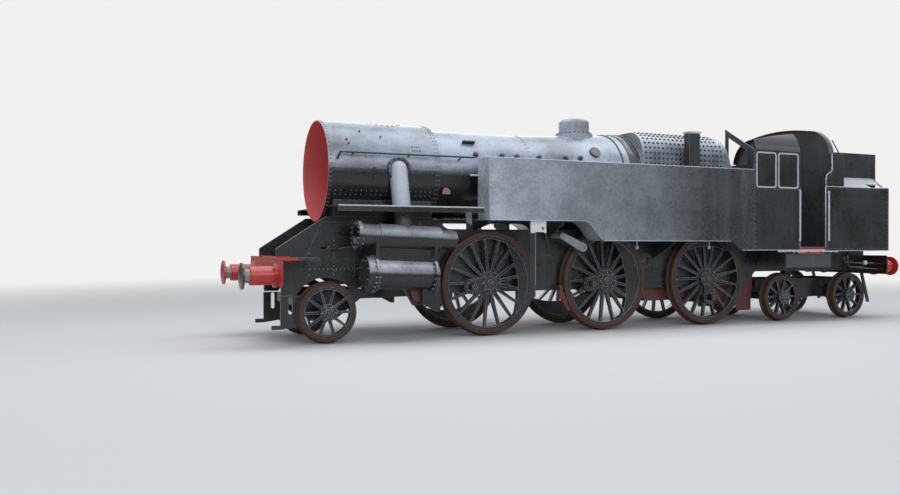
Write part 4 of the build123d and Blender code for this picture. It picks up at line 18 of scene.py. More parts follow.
import bmesh
import bpy
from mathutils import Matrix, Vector


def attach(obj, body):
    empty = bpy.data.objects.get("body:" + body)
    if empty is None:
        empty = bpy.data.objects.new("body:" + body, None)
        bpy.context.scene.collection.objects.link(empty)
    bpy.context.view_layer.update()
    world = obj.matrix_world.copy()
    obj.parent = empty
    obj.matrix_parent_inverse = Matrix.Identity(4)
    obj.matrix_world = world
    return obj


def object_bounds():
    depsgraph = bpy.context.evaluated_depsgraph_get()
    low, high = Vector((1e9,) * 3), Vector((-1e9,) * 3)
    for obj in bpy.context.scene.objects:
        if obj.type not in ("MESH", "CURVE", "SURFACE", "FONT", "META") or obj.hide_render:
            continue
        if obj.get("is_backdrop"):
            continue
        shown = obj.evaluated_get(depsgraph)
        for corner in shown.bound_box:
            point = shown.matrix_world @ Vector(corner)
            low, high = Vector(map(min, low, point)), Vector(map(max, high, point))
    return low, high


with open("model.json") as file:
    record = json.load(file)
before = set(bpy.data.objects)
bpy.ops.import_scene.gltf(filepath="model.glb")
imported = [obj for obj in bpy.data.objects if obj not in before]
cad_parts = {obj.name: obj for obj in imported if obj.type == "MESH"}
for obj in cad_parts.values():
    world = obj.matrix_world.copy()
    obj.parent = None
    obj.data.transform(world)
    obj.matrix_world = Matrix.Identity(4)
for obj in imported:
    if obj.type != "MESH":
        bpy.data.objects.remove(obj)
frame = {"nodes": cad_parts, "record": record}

cad_low, cad_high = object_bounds()
nodes = frame["nodes"]
print(len(nodes), "parts, from", tuple(cad_low), "to", tuple(cad_high))

# %% [markdown]
# The camera stands beside the engine, just ahead of its front end, with the lens at the height
# of a person's eyes. A wide lens near a long object is what makes the front look large and the
# bunker small, so its place and its focal length matter. Both were solved from the places of
# five pairs of wheels.

# %% Camera
CAMERA_PLACE = (8.99, 13.26, 1.564)
CAMERA_TURN = 23.916
CAMERA_DIP = 0.30
LENS_MM = 32.98
SENSOR_MM = 36
SIGHT_END = 1000

camera_data = bpy.data.cameras.new("camera")
camera_data.sensor_fit = "HORIZONTAL"
camera_data.sensor_width = SENSOR_MM
camera_data.lens = LENS_MM
camera_data.clip_end = SIGHT_END
camera = bpy.data.objects.new("camera", camera_data)
camera.location = CAMERA_PLACE
camera.rotation_euler = (radians(90 - CAMERA_DIP), 0, radians(180 - CAMERA_TURN))
bpy.context.scene.collection.objects.link(camera)
bpy.context.scene.camera = camera
bpy.context.scene.view_settings.view_transform = "Standard"
print("camera at", CAMERA_PLACE, "with a", LENS_MM, "mm lens")

# %% [markdown]
# Colours are written as hex values, the way a paint chart gives them. Blender works in linear
# light, so one function turns them over. A second small function adds a node to a material, with
# its settings and its inputs in one call, which keeps every material short enough to read. Where
# an input is given a whole node, it takes that node's first output.


# %% Colour and node helpers
def linear(hex_colour):
    """An sRGB hex value as the linear colour that Blender works with."""
    values = [int(hex_colour[i : i + 2], 16) / 255 for i in (1, 3, 5)]
    return tuple(v / 12.92 if v <= 0.04045 else ((v + 0.055) / 1.055) ** 2.4 for v in values) + (1,)


def put(tree, kind, inputs=(), **settings):
    """Adds a node. Each pair gives an input a node, a socket or a number to use."""
    node = tree.nodes.new("ShaderNode" + kind)
    for key, value in settings.items():
        if hasattr(node, key):
            setattr(node, key, value)
        else:
            node.inputs[key.replace("_", " ")].default_value = value
    for socket, value in inputs:
        if isinstance(value, bpy.types.Node):
            value = value.outputs[0]
        if isinstance(value, bpy.types.NodeSocket):
            tree.links.new(value, node.inputs[socket])
        else:
            node.inputs[socket].default_value = value
    return node


def empty_tree(owner):
    """The node tree of a new material or world, with nothing in it yet."""
    owner.use_nodes = True
    owner.node_tree.nodes.clear()
    return owner.node_tree


print("mid grey turns to", linear("#808080"))

# %% [markdown]
# The floor is a plain pale one, matt like primed board, so that it keeps the engine's shadow and
# mirrors nothing. For the camera it fades into the white of the background a few metres past the
# engine, so that no horizon line cuts behind the wheels. Only camera rays see that fade, so it
# puts no extra light on the paint.

# %% Floor
FLOOR_SIZE = 600
FADE_START = 8
FADE_END = 27
BACKGROUND_WHITE = "#f1f1ef"

half = FLOOR_SIZE / 2
floor_mesh = bpy.data.meshes.new("floor")
corners = [(-half, -half, 0), (half, -half, 0), (half, half, 0), (-half, half, 0)]
floor_mesh.from_pydata(corners, [], [(0, 1, 2, 3)])
floor = bpy.data.objects.new("floor", floor_mesh)
bpy.context.scene.collection.objects.link(floor)
floor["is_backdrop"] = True

floor_paint = bpy.data.materials.new("pale_matt_floor")
tree = empty_tree(floor_paint)
distance = put(tree, "VectorMath", [(0, put(tree, "NewGeometry"))], operation="LENGTH").outputs["Value"]
ends = dict(From_Min=FADE_START, From_Max=FADE_END)
fade = put(tree, "MapRange", [("Value", distance)], interpolation_type="SMOOTHSTEP", **ends)
camera_ray = put(tree, "LightPath").outputs["Is Camera Ray"]
share = put(tree, "Math", [(0, fade), (1, camera_ray)], operation="MULTIPLY")
matt = put(tree, "BsdfDiffuse", Color=linear("#eeedea"))
white = put(tree, "Emission", Color=linear(BACKGROUND_WHITE), Strength=1.0)
mixed = put(tree, "MixShader", [(0, share), (1, matt), (2, white)])
put(tree, "OutputMaterial", [("Surface", mixed)])
floor_mesh.materials.append(floor_paint)
print("floor of", FLOOR_SIZE, "m, white from", FADE_END, "m out")

# %% [markdown]
# Black gloss paint shows little colour of its own. What the eye reads on it is what it mirrors:
# a bright sky on every surface that leans upward, and a dark horizon on the flat sides. So the
# world has three looks. The camera sees it plain white, a matt surface takes a soft light from
# it, and a glossy one mirrors a gradient from a dark horizon up to a pale sky.

# %% Background
SOFT_LIGHT = 0.42
MIRRORED_LIGHT = 1.5
HORIZON_TOP = 0.04
SKY_START = 0.32

world = bpy.data.worlds.new("studio")
bpy.context.scene.world = world
tree = empty_tree(world)
rays = put(tree, "LightPath").outputs
plain_rays = [(0, rays["Is Camera Ray"]), (1, rays["Is Transmission Ray"])]
seen = put(tree, "Math", plain_rays, operation="MAXIMUM")
soft = put(tree, "Background", Color=linear("#dfe6ee"), Strength=SOFT_LIGHT)
white = put(tree, "Background", Color=linear(BACKGROUND_WHITE), Strength=1.0)
toward = put(tree, "SeparateXYZ", [("Vector", put(tree, "TexCoord").outputs["Generated"])]).outputs["Z"]
ends = dict(From_Min=HORIZON_TOP, From_Max=SKY_START)
rise = put(tree, "MapRange", [("Value", toward)], interpolation_type="SMOOTHSTEP", **ends)
gradient = put(tree, "MixRGB", [("Fac", rise)], Color1=linear("#3b413f"), Color2=linear("#f4f7ff"))
mirrored = put(tree, "Background", [("Color", gradient)], Strength=MIRRORED_LIGHT)
lit = put(tree, "MixShader", [(0, rays["Is Glossy Ray"]), (1, soft), (2, mirrored)])
mixed = put(tree, "MixShader", [(0, seen), (1, lit), (2, white)])
put(tree, "OutputWorld", [("Surface", mixed)])
print("world", world.name, "gives a soft light of", SOFT_LIGHT)

# %% [markdown]
# The lamps are three large soft panels, like the cloth of a light tent. One hangs over the
# engine and draws the pale band along the boiler and the cylinders. One stands high behind the
# camera and lights the near side, and a weaker one does the same for the far side. A panel's
# power follows from its area and from how bright its face should look, so that a larger panel
# is softer and not harsher.

# %% Lamps
# Columns: name, place, what it faces, width and length in metres, brightness of its face, tint
LAMPS = (
    ("sky_panel", (0, 1.0, 12.0), (0, 0, 2.0), 7.0, 24.0, 2.3, "#f1f6ff"),
    ("near_sky_panel", (6, 21, 11), (0, 0, 2.2), 9.0, 30.0, 1.9, "#f1f5ff"),
    ("far_panel", (-4, -14, 8), (0, 0, 2.0), 6.0, 14.0, 0.9, "#f2f6ff"),
)
for name, place, aim, width, length, radiance, tint in LAMPS:
    data = bpy.data.lights.new(name, "AREA")
    data.shape = "RECTANGLE"
    data.size = length
    data.size_y = width
    data.energy = radiance * pi * width * length
    data.color = linear(tint)[:3]
    lamp = bpy.data.objects.new(name, data)
    lamp.location = place
    lamp.rotation_euler = (Vector(place) - Vector(aim)).to_track_quat("Z", "Y").to_euler()
    bpy.context.scene.collection.objects.link(lamp)
    print(name, "of", round(data.energy), "W")

# %% [markdown]
# Some regions of a part were painted or rubbed differently, such as the red inside of the
# smokebox. Such a zone could be a second material on some of the faces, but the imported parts
# are not to be cut up, so it is a mask in the material: a function adds nodes that give 1 inside
# the zone and 0 outside. Masks and patterns read a part's own coordinates, in metres, so they
# move with it.


# %% Masks for zones
INWARD_TURN = -0.1
RIM_START = 0.004
RIM_END = 0.001


def within(low, high, soft=0.01):
    """A mask that is 1 inside a box and fades over a soft edge."""

    def mask(tree, axes, normal):
        share = 1.0
        for axis, start, stop in zip(axes, low, high):
            above = put(tree, "MapRange", [("Value", axis)], From_Min=start - soft, From_Max=start)
            below = put(tree, "MapRange", [("Value", axis)], From_Min=stop + soft, From_Max=stop)
            both = put(tree, "Math", [(0, above), (1, below)], operation="MULTIPLY")
            share = put(tree, "Math", [(0, share), (1, both)], operation="MULTIPLY")
        return share

    return mask


def beside(low, high, soft=0.01):
    """The same on both sides: a box whose second axis is the distance from the centre line."""

    def mask(tree, axes, normal):
        out = put(tree, "Math", [(0, axes[1])], operation="ABSOLUTE")
        return within(low, high, soft)(tree, (axes[0], out, axes[2]), normal)

    return mask


def inside_tube(height, front):
    """The inside of a tube that lies along the engine at a height, and the rim at its front."""

    def mask(tree, axes, normal):
        up = put(tree, "Math", [(0, axes[2]), (1, height)], operation="SUBTRACT")
        outward = put(tree, "CombineXYZ", [("Y", axes[1]), ("Z", up)])
        facing = put(tree, "CombineXYZ", [("Y", normal[1]), ("Z", normal[2])])
        dot = put(tree, "VectorMath", [(0, outward), (1, facing)], operation="DOT_PRODUCT")
        inward = dot.outputs["Value"]
        inner = put(tree, "MapRange", [("Value", inward)], From_Min=0.0, From_Max=INWARD_TURN)
        ends = dict(From_Min=front - RIM_START, From_Max=front - RIM_END)
        rim = put(tree, "MapRange", [("Value", axes[0])], **ends)
        return put(tree, "Math", [(0, inner), (1, rim)], operation="MAXIMUM")

    return mask


print("masks: a box, a box on both sides, the inside of a tube")

# %% [markdown]
# The engine is painted steel plate: mild steel rolled to plate, brushed with oil based gloss
# enamel. Such paint weathers in three ways that the eye looks for. It goes chalky and pale where
# the sky sees it, rain draws faint upright streaks down the flat sides, and it rubs off along
# edges. The pale colour on faces toward the sky is also a painted reflection of the sky, and the
# pale colour along edges is also a painted highlight. One function makes all the enamels, because
# they differ only in how strong each is.
#
# The patterns are noise at real sizes. Patches are almost a metre across, streaks a hand wide
# and drawn out downward, and buckles in the plate half a metre long. Real grit in brushed paint
# is far finer than a pixel here, so it is drawn eight times coarser, or the paint would look
# like plastic. Enamel is a clear resin over its pigment, so it has an IOR near 1.5 and a thin
# coat over the body of the paint.

# %% Enamel on steel plate
PATCH_MM = 909.1
BUCKLE_MM = 454.5
STREAK_STRETCH = 15
GRIT_COARSER = 8
ENAMEL_IOR = 1.52
COAT_WEIGHT = 0.35
COAT_ROUGHNESS = 0.2


def enamel(
    name, colour, chalk_and_sheen, streak_colour, rough=(0.24, 0.5), chalk_and_sheen_share=0.6, sky_edge=(-0.1, 0.9),
    streaks=0.35, streak_mm=111.1, grain_mm=6, dents=0.25, painted_sheen_ramp=None, edge_mm=0,
    edge_wear_and_glint_colour="#8f979c", patchy=0.75, zones=(),
):
    """Brushed gloss enamel on plate, chalked on top with a painted sky reflection, streaked on the
    sides, rubbed along edges with a painted highlight.
    """
    material = bpy.data.materials.new(name)
    tree = empty_tree(material)
    spot = put(tree, "TexCoord").outputs["Object"]
    true_normal = put(tree, "NewGeometry").outputs["Normal"]
    axes = put(tree, "SeparateXYZ", [("Vector", spot)]).outputs
    normal = put(tree, "SeparateXYZ", [("Vector", true_normal)]).outputs

    # Patches where rain and hands have left the paint uneven, then streaks, then grit
    patch_scale = 1000 / PATCH_MM
    patches = put(tree, "TexNoise", [("Vector", spot)], Scale=patch_scale, Detail=6.0, Roughness=0.62)
    across = 1000 / streak_mm
    drawn = put(tree, "Mapping", [("Vector", spot)], Scale=(across, across, across / STREAK_STRETCH))
    streak = put(tree, "TexNoise", [("Vector", drawn)], Scale=1.0, Detail=4.0, Roughness=0.55)
    streaked = put(tree, "MapRange", [("Value", streak)], From_Min=0.48, From_Max=0.78, To_Max=streaks)
    grit_scale = 1000 / (grain_mm * GRIT_COARSER)
    grit = put(tree, "TexNoise", [("Vector", spot)], Scale=grit_scale, Detail=3.0, Roughness=0.7)

    # How much each point faces the sky, times how worn its paint is: the mix to pale paints chalk and a
    # reflection of the sky
    ends = dict(From_Min=sky_edge[0], From_Max=sky_edge[1], To_Max=chalk_and_sheen_share)
    sky = put(tree, "MapRange", [("Value", normal["Z"])], **ends)
    worn = put(tree, "MapRange", [("Value", patches)], From_Min=0.34, From_Max=0.62, To_Min=1.0 - patchy)
    chalk_and_sheen_mask = put(tree, "Math", [(0, sky), (1, worn)], operation="MULTIPLY")
    if painted_sheen_ramp:
        # A painted reflection on a flat side, weak at the ramp's start and strong at its end
        start, stop, thin, thick = painted_sheen_ramp
        ends = dict(From_Min=start, From_Max=stop, To_Min=thin, To_Max=thick)
        sheen_share = put(tree, "MapRange", [("Value", axes["X"])], **ends)
        patchy_sheen = put(tree, "Math", [(0, sheen_share), (1, worn)], operation="MULTIPLY")
        chalk_and_sheen_mask = put(tree, "Math", [(0, chalk_and_sheen_mask), (1, patchy_sheen)], operation="MAXIMUM")

    base = put(tree, "MixRGB", [("Fac", streaked)], Color1=linear(colour), Color2=linear(streak_colour))
    paint = put(tree, "MixRGB", [("Fac", chalk_and_sheen_mask), ("Color1", base)], Color2=linear(chalk_and_sheen))
    paint = put(tree, "MixRGB", [("Color1", paint), ("Color2", grit)], blend_type="OVERLAY", Fac=0.3)
    if edge_mm:
        # Paint rubs off along edges, and a painted highlight lies there too, which a rounded normal
        # finds: there it parts from the true one
        rounded = put(tree, "Bevel", samples=4, Radius=edge_mm / 1000)
        dot = put(tree, "VectorMath", [(0, rounded), (1, true_normal)], operation="DOT_PRODUCT")
        ends = dict(From_Min=0.985, From_Max=0.92, To_Max=0.95)
        edges = put(tree, "MapRange", [("Value", dot.outputs["Value"])], **ends)
        spared = put(tree, "MapRange", [("Value", patches)], From_Min=0.35, From_Max=0.55, To_Min=0.3)
        rubbed_and_glinting = put(tree, "Math", [(0, edges), (1, spared)], operation="MULTIPLY")
        paint = put(tree, "MixRGB", [("Fac", rubbed_and_glinting), ("Color1", paint)], Color2=linear(edge_wear_and_glint_colour))

    # Gloss: chalked and gritty paint scatters, clean paint shines
    uneven = put(tree, "Math", [(0, patches), (1, grit)], operation="MULTIPLY")
    ends = dict(From_Min=0.15, From_Max=0.4, To_Min=rough[0], To_Max=rough[1])
    gloss = put(tree, "MapRange", [("Value", uneven)], **ends)
    for mask, zone_colour, zone_rough in zones:
        chipped = put(tree, "MapRange", [("Value", grit)], From_Min=0.2, From_Max=0.5, To_Min=0.7)
        share = put(tree, "Math", [(0, mask(tree, axes, normal)), (1, chipped)], operation="MULTIPLY")
        paint = put(tree, "MixRGB", [("Fac", share), ("Color1", paint)], Color2=linear(zone_colour))
        gloss = put(tree, "MixRGB", [("Fac", share), ("Color1", gloss)], Color2=(zone_rough,) * 3 + (1,))

    # Relief: plate that is not quite flat, under paint that is not quite smooth
    wave = put(tree, "TexNoise", [("Vector", spot)], Scale=1000 / BUCKLE_MM, Detail=2.0)
    plate_relief = put(tree, "Bump", [("Height", wave)], Strength=dents, Distance=0.02)
    heights = [("Height", grit), ("Normal", plate_relief)]
    relief = put(tree, "Bump", heights, Strength=0.25, Distance=0.002)
    shader = put(
        tree,
        "BsdfPrincipled",
        [("Base Color", paint), ("Roughness", gloss), ("Normal", relief)],
        IOR=ENAMEL_IOR,
        Coat_Weight=COAT_WEIGHT,
        Coat_Roughness=COAT_ROUGHNESS,
    )
    put(tree, "OutputMaterial", [("Surface", shader)])
    return material


print("enamel with patches of", PATCH_MM, "mm and buckles of", BUCKLE_MM, "mm")

# %% [markdown]
# The black enamels of the frames, the cab and the tanks. The frames and the cab were brushed
# years ago: a dull black with pale rubbed edges, and along those edges a painted highlight as well.
# Small zones on them were painted otherwise, the sill of the doorway and the front of the platform
# red, the motion plates white, and the coal shoulders bare and pale. The inside of the cab is
# painted near black, a painted shade.
#
# The tank sides were brushed last and are the glossiest. A painted reflection of the sky lies on
# them, strong by the smokebox and weak by the cab, which is why they fade from pale grey to black.

# %% Enamels of the frames, the cab and the tanks
RED = "#b5302a"
PALE = "#c4c8cc"
SOOT = "#0e1010"
CAB_INSIDE_SHADE = "#060707"

black_enamel = enamel(
    "weathered_black_enamel", "#0e1211", "#7b8388", "#3a4142", edge_mm=7,
    zones=[
        (beside((-4.46, 1.226, 1.34), (-3.75, 1.32, 1.50)), RED, 0.5),
        # The inside of the cab is painted near black: a painted shade.
        (within((-4.62, -1.316, 1.50), (-2.66, 1.316, 3.85), 0.002), CAB_INSIDE_SHADE, 0.6),
        (beside((3.05, 1.294, 2.13), (5.52, 1.32, 2.16), 0.003), PALE, 0.5),
        (within((6.10, -1.3, 1.29), (6.36, 1.3, 1.36)), RED, 0.4),
        (beside((1.88, 1.20, 1.74), (2.19, 1.27, 1.95)), "#e4e6e6", 0.6),
        (within((-4.70, -0.9, 3.86), (-4.50, 0.9, 4.0)), "#6a2c2a", 0.6),
        (beside((-6.05, 1.02, 2.70), (-4.95, 1.32, 2.90)), PALE, 0.5),
        (beside((-4.6, 1.355, 1.5), (-3.6, 1.40, 2.7)), PALE, 0.5),
        (beside((-1.5, 0.9, 3.60), (-1.2, 1.2, 3.66)), PALE, 0.5),
    ],
)
# The pale front of the tanks is a painted reflection of the sky, ramped along the engine.
tank_enamel = enamel(
    "black_enamel_painted_sheen", "#121918", "#c6ced6", "#515b5c", rough=(0.2, 0.42), streaks=0.5,
    streak_mm=222.2, dents=0.45, painted_sheen_ramp=(-1.6, 3.1, 0.06, 0.95), patchy=0.45,
)
step_grey = enamel(
    "dusty_grey_enamel", "#3f4546", "#7d8485", "#565c5c", rough=(0.4, 0.6), streaks=0.6, edge_mm=6,
)
print("made", black_enamel.name, tank_enamel.name, step_grey.name)

# %% [markdown]
# The boiler has lost its cladding, and what shows is the boiler plate under black bitumen paint.
# Bitumen chalks to a pale grey in the sun, and over that chalk the colour holds a painted reflection
# of the sky, pale lilac, with a sharp edge half way down the round side, where the plate no longer
# faces the sky. The smokebox is red lead inside. The dome and the firebox carry that chalk and
# painted reflection further down than the barrel.

# %% Bitumen paint on the boiler
BOILER_Z = 2.745
SMOKEBOX_FRONT_X = 5.53
BITUMEN = dict(rough=(0.2, 0.45), grain_mm=6, dents=0.8, streaks=0.35)

# The pale colour on the upper half, with its sharp edge at sky_edge, is chalk and a painted reflection
# of the sky.
boiler_black = enamel(
    "bitumen_black_boiler", "#0c0f10", "#aeb9c8", "#262b2e", chalk_and_sheen_share=0.9,
    sky_edge=(-0.08, 0.16),
    zones=[
        (inside_tube(BOILER_Z, SMOKEBOX_FRONT_X), "#d8605c", 0.6),
        (within((-0.36, -1.0, 2.9), (-0.14, 1.0, 3.9), 0.02), SOOT, 0.25),
    ],
    **BITUMEN,
)
dome_black = enamel(
    "dome_black_chalk_and_sheen", "#0d1011", "#d0d8e2", "#262b2e", chalk_and_sheen_share=0.95,
    sky_edge=(-0.7, 0.1), **BITUMEN,
)
firebox_black = enamel(
    "firebox_black_chalk_and_sheen", "#0d1011", "#b9c2cd", "#262b2e", chalk_and_sheen_share=0.95,
    sky_edge=(-0.6, 0.4), **BITUMEN,
)
print("made", boiler_black.name, dome_black.name, firebox_black.name)

# %% [markdown]
# Castings are rougher than plate: the sand of the mould shows through the paint as a fine grain,
# so their grit is finer and their gloss more broken. The cylinders chalk on top like the boiler,
# with the same painted sky reflection. The wheels keep more oil and stay darker, and a painted
# highlight along the edges draws each spoke as a thin pale line. Greasy iron, such as the
# axleboxes, is nearly black, and rivet heads are painted pale, a painted highlight.

# %% Painted castings and oily iron
cast_iron = enamel(
    "painted_cast_iron", "#0f1212", "#d3d9e2", "#3a3632", rough=(0.22, 0.5), chalk_and_sheen_share=0.95,
    sky_edge=(0.02, 0.5), streaks=0.3, grain_mm=4, dents=0.4, edge_mm=6,
)
# The pale edge colour of the wheels is a painted highlight along each spoke.
wheel_enamel = enamel(
    "wheel_black_enamel", "#0d1010", "#6d7375", "#2f2c28", rough=(0.22, 0.45), streaks=0.2,
    grain_mm=4, edge_mm=11, edge_wear_and_glint_colour="#bcc3ca",
)
oily_black = enamel(
    "oily_black_iron", "#0c0d0d", "#3a3c3c", "#23201d", rough=(0.2, 0.45), chalk_and_sheen_share=0.4,
    grain_mm=4, zones=[(beside((3.40, 0.735, 2.30), (3.62, 1.0, 2.54), 0.004), "#cf9490", 0.6)],
)
# Rivet heads are painted pale all over, a painted highlight on each small dome.
highlighted_rivet_heads = enamel(
    "rivet_heads_painted_highlight", "#596064", "#c4cad0", "#33383a", rough=(0.25, 0.45), chalk_and_sheen_share=0.9,
    grain_mm=4,
)
print("made", cast_iron.name, wheel_enamel.name, oily_black.name, highlighted_rivet_heads.name)

# %% [markdown]
# The beams and buffers are red gloss, with black backs, bare steel where the front rams slide
# and one black buffer face. Red oxide primer is matt and brown. Undercoats are matt greys and
# whites that take dirt as soft stains: the steam pipes pale grey, with rust at their feet, the
# reversing arms a duller grey, and the flaked edges of the footplate white.

# %% Reds, greys and whites
BARE_RAM = "#8d8a86"
BLACK_FACE = "#2a2b2d"
RUSTY_FOOT = "#3a2a24"

red_enamel = enamel(
    "rubbed_red_enamel", "#b5211c", "#dc5148", "#6f1813", rough=(0.25, 0.5), chalk_and_sheen_share=0.5,
    streaks=0.3, grain_mm=4,
    zones=[
        (beside((6.755, 0.76, 0.96), (6.845, 0.98, 1.19), 0.003), BARE_RAM, 0.4),
        (within((6.852, 0.6, 0.8), (6.95, 1.2, 1.4), 0.003), BLACK_FACE, 0.3),
        (within((-6.33, -1.3, 0.9), (-6.2, 1.3, 1.31), 0.005), SOOT, 0.6),
        (within((6.2, -1.3, 0.9), (6.33, 1.3, 1.31), 0.005), SOOT, 0.6),
    ],
)
red_primer = enamel(
    "red_oxide_primer", "#5c2521", "#7d3b35", "#351a17", rough=(0.6, 0.85), chalk_and_sheen_share=0.3,
    streaks=0.5, grain_mm=5,
)
grey_undercoat = enamel(
    "pale_grey_undercoat", "#b4bbc3", "#d4dae2", "#8a9095", rough=(0.4, 0.65), streaks=0.3,
    grain_mm=5, zones=[(within((4.0, -1.3, 1.5), (4.7, 1.3, 2.12), 0.04), RUSTY_FOOT, 0.8)],
)
arm_grey = enamel(
    "dull_grey_undercoat", "#8b9191", "#a8aeae", "#5f6462", rough=(0.5, 0.7), grain_mm=5, edge_mm=5
)
white_undercoat = enamel(
    "chipped_white_undercoat", "#c8cacb", "#e0e2e3", "#8e8f8c", rough=(0.5, 0.7), chalk_and_sheen_share=0.5,
    streaks=0.4, grain_mm=5,
)
print("made", red_enamel.name, red_primer.name, grey_undercoat.name, arm_grey.name, white_undercoat.name)

# %% [markdown]
# Tyres are rolled steel. The tread was polished by the rails and has rusted since the engine
# stopped, an even warm brown. Bare steel elsewhere, such as the hooks, is dull grey with rust in
# patches. All of them are metal under a skin of oxide, so the rust is the mask between two
# finishes: metallic where it is bare, and not where it is brown. The patches are two hands wide,
# and the grain of the rust is drawn at 17 mm, coarser than real rust, so that it shows.

# %% Rusted and bare steel
RUST_PATCH_MM = 200
RUST_GRAIN_MM = 16.667
RUST_ROUGHNESS = 0.85


def rusting_steel(name, steel, rust, dark_rust, rust_share, rough=0.42):
    """Bare steel with rust over a share of it."""
    material = bpy.data.materials.new(name)
    tree = empty_tree(material)
    spot = put(tree, "TexCoord").outputs["Object"]
    blotch_scale, fine_scale = 1000 / RUST_PATCH_MM, 1000 / RUST_GRAIN_MM
    blotch = put(tree, "TexNoise", [("Vector", spot)], Scale=blotch_scale, Detail=8.0, Roughness=0.65)
    fine = put(tree, "TexNoise", [("Vector", spot)], Scale=fine_scale, Detail=4.0, Roughness=0.7)
    clean = 0.68 - 0.5 * rust_share
    mask = put(tree, "MapRange", [("Value", blotch)], From_Min=clean, From_Max=clean + 0.1)
    brown = put(tree, "MixRGB", [("Fac", fine)], Color1=linear(dark_rust), Color2=linear(rust))
    colour = put(tree, "MixRGB", [("Fac", mask), ("Color2", brown)], Color1=linear(steel))
    bare = put(tree, "Math", [(0, 1.0), (1, mask)], operation="SUBTRACT")
    gloss = put(tree, "MapRange", [("Value", mask)], To_Min=rough, To_Max=RUST_ROUGHNESS)
    relief = put(tree, "Bump", [("Height", fine)], Strength=0.3, Distance=0.002)
    inputs = [("Base Color", colour), ("Metallic", bare), ("Roughness", gloss), ("Normal", relief)]
    put(tree, "OutputMaterial", [("Surface", put(tree, "BsdfPrincipled", inputs))])
    return material


tyre_steel = rusting_steel("rusted_tyre_steel", "#66676a", "#5f4336", "#33271f", 0.8)
bare_steel = rusting_steel("dull_bare_steel", "#a3a19c", "#6a4836", "#43301f", 0.3)
oiled_steel = rusting_steel("oiled_dark_steel", "#4a4947", "#4a382d", "#2a211b", 0.35, 0.35)
scale_rust = rusting_steel("flaking_rust", "#4a4441", "#6a3a2c", "#38211a", 1.0)
print("made", tyre_steel.name, bare_steel.name, oiled_steel.name, scale_rust.name)

# %% [markdown]
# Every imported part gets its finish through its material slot. The record names a slot for each
# part, and one table gives the finish for each slot. Two more name the parts that look different
# from their neighbours, by their names or by how these end.

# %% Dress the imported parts
FINISHES = {
    "black_paint": black_enamel,
    "boiler_paint": boiler_black,
    "red_paint": red_enamel,
    "primer": red_primer,
    "grey_paint": grey_undercoat,
    "cast_iron": cast_iron,
    "tyre_steel": tyre_steel,
    "steel": bare_steel,
}
OWN_FINISH = {
    "tank_left": tank_enamel,
    "tank_right": tank_enamel,
    "saddle": black_enamel,
    "driver_axleboxes": oily_black,
    "dome": dome_black,
    "firebox": firebox_black,
    "reversing_arms": arm_grey,
    "cab_steps": step_grey,
    "boiler_fittings": oily_black,
}
ENDING_FINISH = {"axle": oiled_steel, "centres": wheel_enamel}
slot_of = {part["node"]: part["material_slot"] for part in frame["record"]["subparts"]}
for name, node in nodes.items():
    finish = OWN_FINISH.get(name, FINISHES[slot_of[name]])
    finish = ENDING_FINISH.get(name.split("_")[-1], finish)
    for slot in node.material_slots:
        slot.material = finish
print(len(nodes), "parts dressed")

# %% [markdown]
# Fasteners come next. Each is a turned piece: a short list of rings, each with a radius and a
# height above the surface, spun about the way that it faces. A library of ready made bolts would
# do it too, but a list of rings can be read and changed. Every profile starts a little below the
# surface, so that no rivet hangs in the air on a curved plate. A rivet has eight sides and a nut
# six, which is enough, since the largest covers two or three pixels.

# %% Turned pieces
SUNK = 0.004
# Columns: radius and height of each ring, as shares of the head's own radius
RIVET_RINGS = ((1, 0.2), (0.75, 0.6), (0, 0.8))
NUT_RINGS = ((1, 0.9), (0.85, 1.05), (0.5, 1.06), (0.5, 1.7), (0, 1.8))


def turned(mesh, place, facing, profile, sides=8):
    """Adds a small turned piece to a mesh: rings of (radius, height) along the way it faces."""
    axis = Vector(facing).normalized()
    across = axis.orthogonal().normalized()
    other = axis.cross(across)
    rings = []
    for radius, height in profile:
        centre = Vector(place) + axis * height
        if radius == 0:
            rings.append([mesh.verts.new(centre)])
            continue
        spokes = [across * cos(tau * i / sides) + other * sin(tau * i / sides) for i in range(sides)]
        rings.append([mesh.verts.new(centre + spoke * radius) for spoke in spokes])
    for low, high in zip(rings, rings[1:]):
        for i in range(sides):
            j = (i + 1) % sides
            corners = [low[i], low[j], high[0]] if len(high) == 1 else [low[i], low[j], high[j], high[i]]
            mesh.faces.new(corners)
    mesh.faces.new(rings[0][::-1])
    if len(rings[-1]) > 1:
        mesh.faces.new(rings[-1])


def rivet(radius, sunk=SUNK, rings=RIVET_RINGS):
    """The profile of a rivet's head, or of a fastener with other rings."""
    return [(radius, -sunk)] + [(radius * share, radius * height) for share, height in rings]


def stud(radius, sunk=SUNK):
    """The profile of a nut with the end of its stud."""
    return rivet(radius, sunk, NUT_RINGS)


print("a 13 mm rivet's rings", rivet(0.013))

# %% [markdown]
# Rivets stand in rows and in rings, so small functions give their places. The last one makes an
# object of a finished mesh. One object holds all the rivets of a kind on one body, because a
# thousand small objects would be slow and hard to keep in order. It rides on a body, which is
# the engine where none is named, and its faces are turned outward before it is kept.

# %% Rows, rings and pieces
SIDES = (1, -1)


def line(start, stop, pitch):
    """Points from start to stop, spaced as near to the pitch as a whole number allows."""
    start, stop = Vector(start), Vector(stop)
    count = max(1, round((stop - start).length / pitch))
    return [start.lerp(stop, i / count) for i in range(count + 1)]


def around(count, radius, first=0.0):
    """Places round a circle, as (across, up); first moves them on by a share of a step."""
    angles = [tau * (i + first) / count for i in range(count)]
    return [(radius * cos(angle), radius * sin(angle)) for angle in angles]


def ring_on_side(mesh, side, x, y, z, count, radius, profile, sides=6):
    """Adds a ring of fasteners that face out from one side of the engine."""
    for along, up in around(count, radius):
        turned(mesh, (x + along, side * y, z + up), (0, side, 0), profile, sides)


